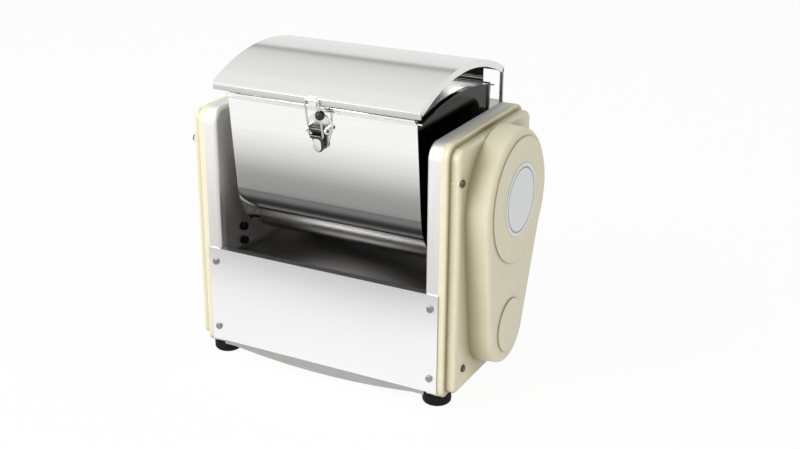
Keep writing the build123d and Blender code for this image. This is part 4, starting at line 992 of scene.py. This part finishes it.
@dataclass
class Studio:
    """Pale floor, soft lights, dark cards for the metal to mirror, and the camera of the photograph."""

    yaw_deg: float = 28.61
    pitch_deg: float = 21.09
    focal_px: float = 1265.6
    principal_px: float = 375.0
    eye_mm: tuple[float, float, float] = (685.5, -1124.1, 686.2)
    sight_m: float = 50.0
    floor_half_m: float = 6.0
    floor_paint: str = "#f4f4f4"
    floor_glow: float = 0.95
    mirror_glow: float = 0.8
    surround: float = 0.5
    aim_m: tuple[float, float, float] = (0.0, 0.0, 0.2)
    key: Lamp = Lamp("key_light", (-1.0, -1.5, 1.5), 1.4, 32.0)
    fill: Lamp = Lamp("fill_light", (1.5, -0.9, 1.0), 1.2, 3.0)

    def build(self) -> None:
        """Make world, floor, cards, lamps and camera."""
        self._world()
        self._floor()
        self._cards()
        self._lamps()
        self._camera()

    def _world(self) -> None:
        """Even pale surround that is white to the camera and to mirrors."""
        world = bpy.data.worlds.new("studio")
        bpy.context.scene.world = world
        world.use_nodes = True
        tree = world.node_tree
        tree.nodes.clear()
        seen = self._seen(tree)
        strength = add_node(tree, "ShaderNodeMapRange",
                            inputs={"To Min": self.surround, "To Max": WHITE_GLOW},
                            links={"Value": seen})
        back = add_node(tree, "ShaderNodeBackground", inputs={"Color": linear(WHITE)},
                        links={"Strength": strength.outputs["Result"]})
        add_node(tree, "ShaderNodeOutputWorld", links={"Surface": back.outputs["Background"]})

    def _seen(self, tree: bpy.types.NodeTree) -> bpy.types.NodeSocket:
        """Return one for rays from the camera, a mirror or glass, and zero for the rest.

        Args:
            tree: Node tree that gets the nodes.

        Returns:
            The value's socket.
        """
        path = add_node(tree, "ShaderNodeLightPath")
        mirror = add_node(tree, "ShaderNodeMath", {"operation": "MAXIMUM"},
                          links={0: path.outputs["Is Glossy Ray"], 1: path.outputs["Is Transmission Ray"]})
        seen = add_node(tree, "ShaderNodeMath", {"operation": "MAXIMUM"},
                        links={0: path.outputs["Is Camera Ray"], 1: mirror.outputs["Value"]})
        return seen.outputs["Value"]

    def _floor(self) -> None:
        """White floor that keeps the object's shadow."""
        floor = new_object("floor", new_panel(Matrix.Scale(self.floor_half_m, 4)))
        material = new_material("floor_white")
        tree = material.node_tree
        paint = add_node(tree, "ShaderNodeBsdfDiffuse", inputs={"Color": linear(self.floor_paint)})
        glow = add_node(tree, "ShaderNodeEmission", inputs={"Color": linear(WHITE), "Strength": WHITE_GLOW})
        path = add_node(tree, "ShaderNodeLightPath")
        direct = add_node(tree, "ShaderNodeMapRange",
                          inputs={"To Min": self.mirror_glow, "To Max": self.floor_glow},
                          links={"Value": path.outputs["Is Camera Ray"]})
        share = add_node(tree, "ShaderNodeMath", {"operation": "MULTIPLY"},
                         links={0: direct.outputs["Result"], 1: self._seen(tree)})
        mix = add_node(tree, "ShaderNodeMixShader",
                       links={0: share.outputs["Value"], 1: paint.outputs["BSDF"],
                              2: glow.outputs["Emission"]})
        add_node(tree, "ShaderNodeOutputMaterial", links={"Surface": mix.outputs["Shader"]})
        floor.data.materials.append(material)

    def _cards(self) -> None:
        """Dark cards that only mirrors see, which draw the dark bands in the polished metal."""
        for card in CARDS:
            made = new_object(card.name, card.mesh())
            made.data.materials.append(card.material())
            made.visible_camera = False
            made.visible_diffuse = False
            made.visible_shadow = False

    def _lamps(self) -> None:
        """Large soft key from the front left and a weak fill from the right, aimed at the machine."""
        for lamp in (self.key, self.fill):
            data = bpy.data.lights.new(lamp.name, "AREA")
            data.size = lamp.side
            data.energy = lamp.watts
            made = bpy.data.objects.new(lamp.name, data)
            place = Vector(lamp.place)
            made.location = place
            made.rotation_euler = (Vector(self.aim_m) - place).to_track_quat("-Z", "Y").to_euler()
            bpy.context.collection.objects.link(made)

    def _camera(self) -> None:
        """Camera fitted to the photograph, placed from the lower front edge of the side covers."""
        panel_low, panel_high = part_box("front_panel")
        cover_low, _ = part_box("left_side_cover")
        datum = Vector(((panel_low.x + panel_high.x) / 2, cover_low.y, cover_low.z))
        data = bpy.data.cameras.new("photo_camera")
        data.sensor_width = SENSOR_MM
        data.lens = SENSOR_MM * self.focal_px / PHOTO_WIDTH
        data.shift_x = (PHOTO_WIDTH / 2 - self.principal_px) / PHOTO_WIDTH
        data.clip_end = self.sight_m
        camera = bpy.data.objects.new("photo_camera", data)
        camera.location = datum + Vector(self.eye_mm) * MM
        camera.rotation_euler = (math.radians(90.0 - self.pitch_deg), 0.0, math.radians(self.yaw_deg))
        bpy.context.collection.objects.link(camera)
        bpy.context.scene.camera = camera


def main() -> None:
    """Load the frame, dress it and light it."""
    logging.basicConfig(level=logging.INFO, format="%(name)s %(message)s")
    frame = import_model()
    bpy.context.scene.view_settings.view_transform = "Standard"
    dresser = Dresser(frame["nodes"])
    dresser.dress()
    shop = Workshop(dresser)
    SquareFeetSides(shop, frame["nodes"]).build()
    MouthRoll(shop).build()
    LidHem(shop).build()
    NotchedLid(shop, frame["nodes"]).build()
    LidEnds(shop).build()
    TonguePad(shop).build()
    Studio().build()


if __name__ == "__main__":
    main()
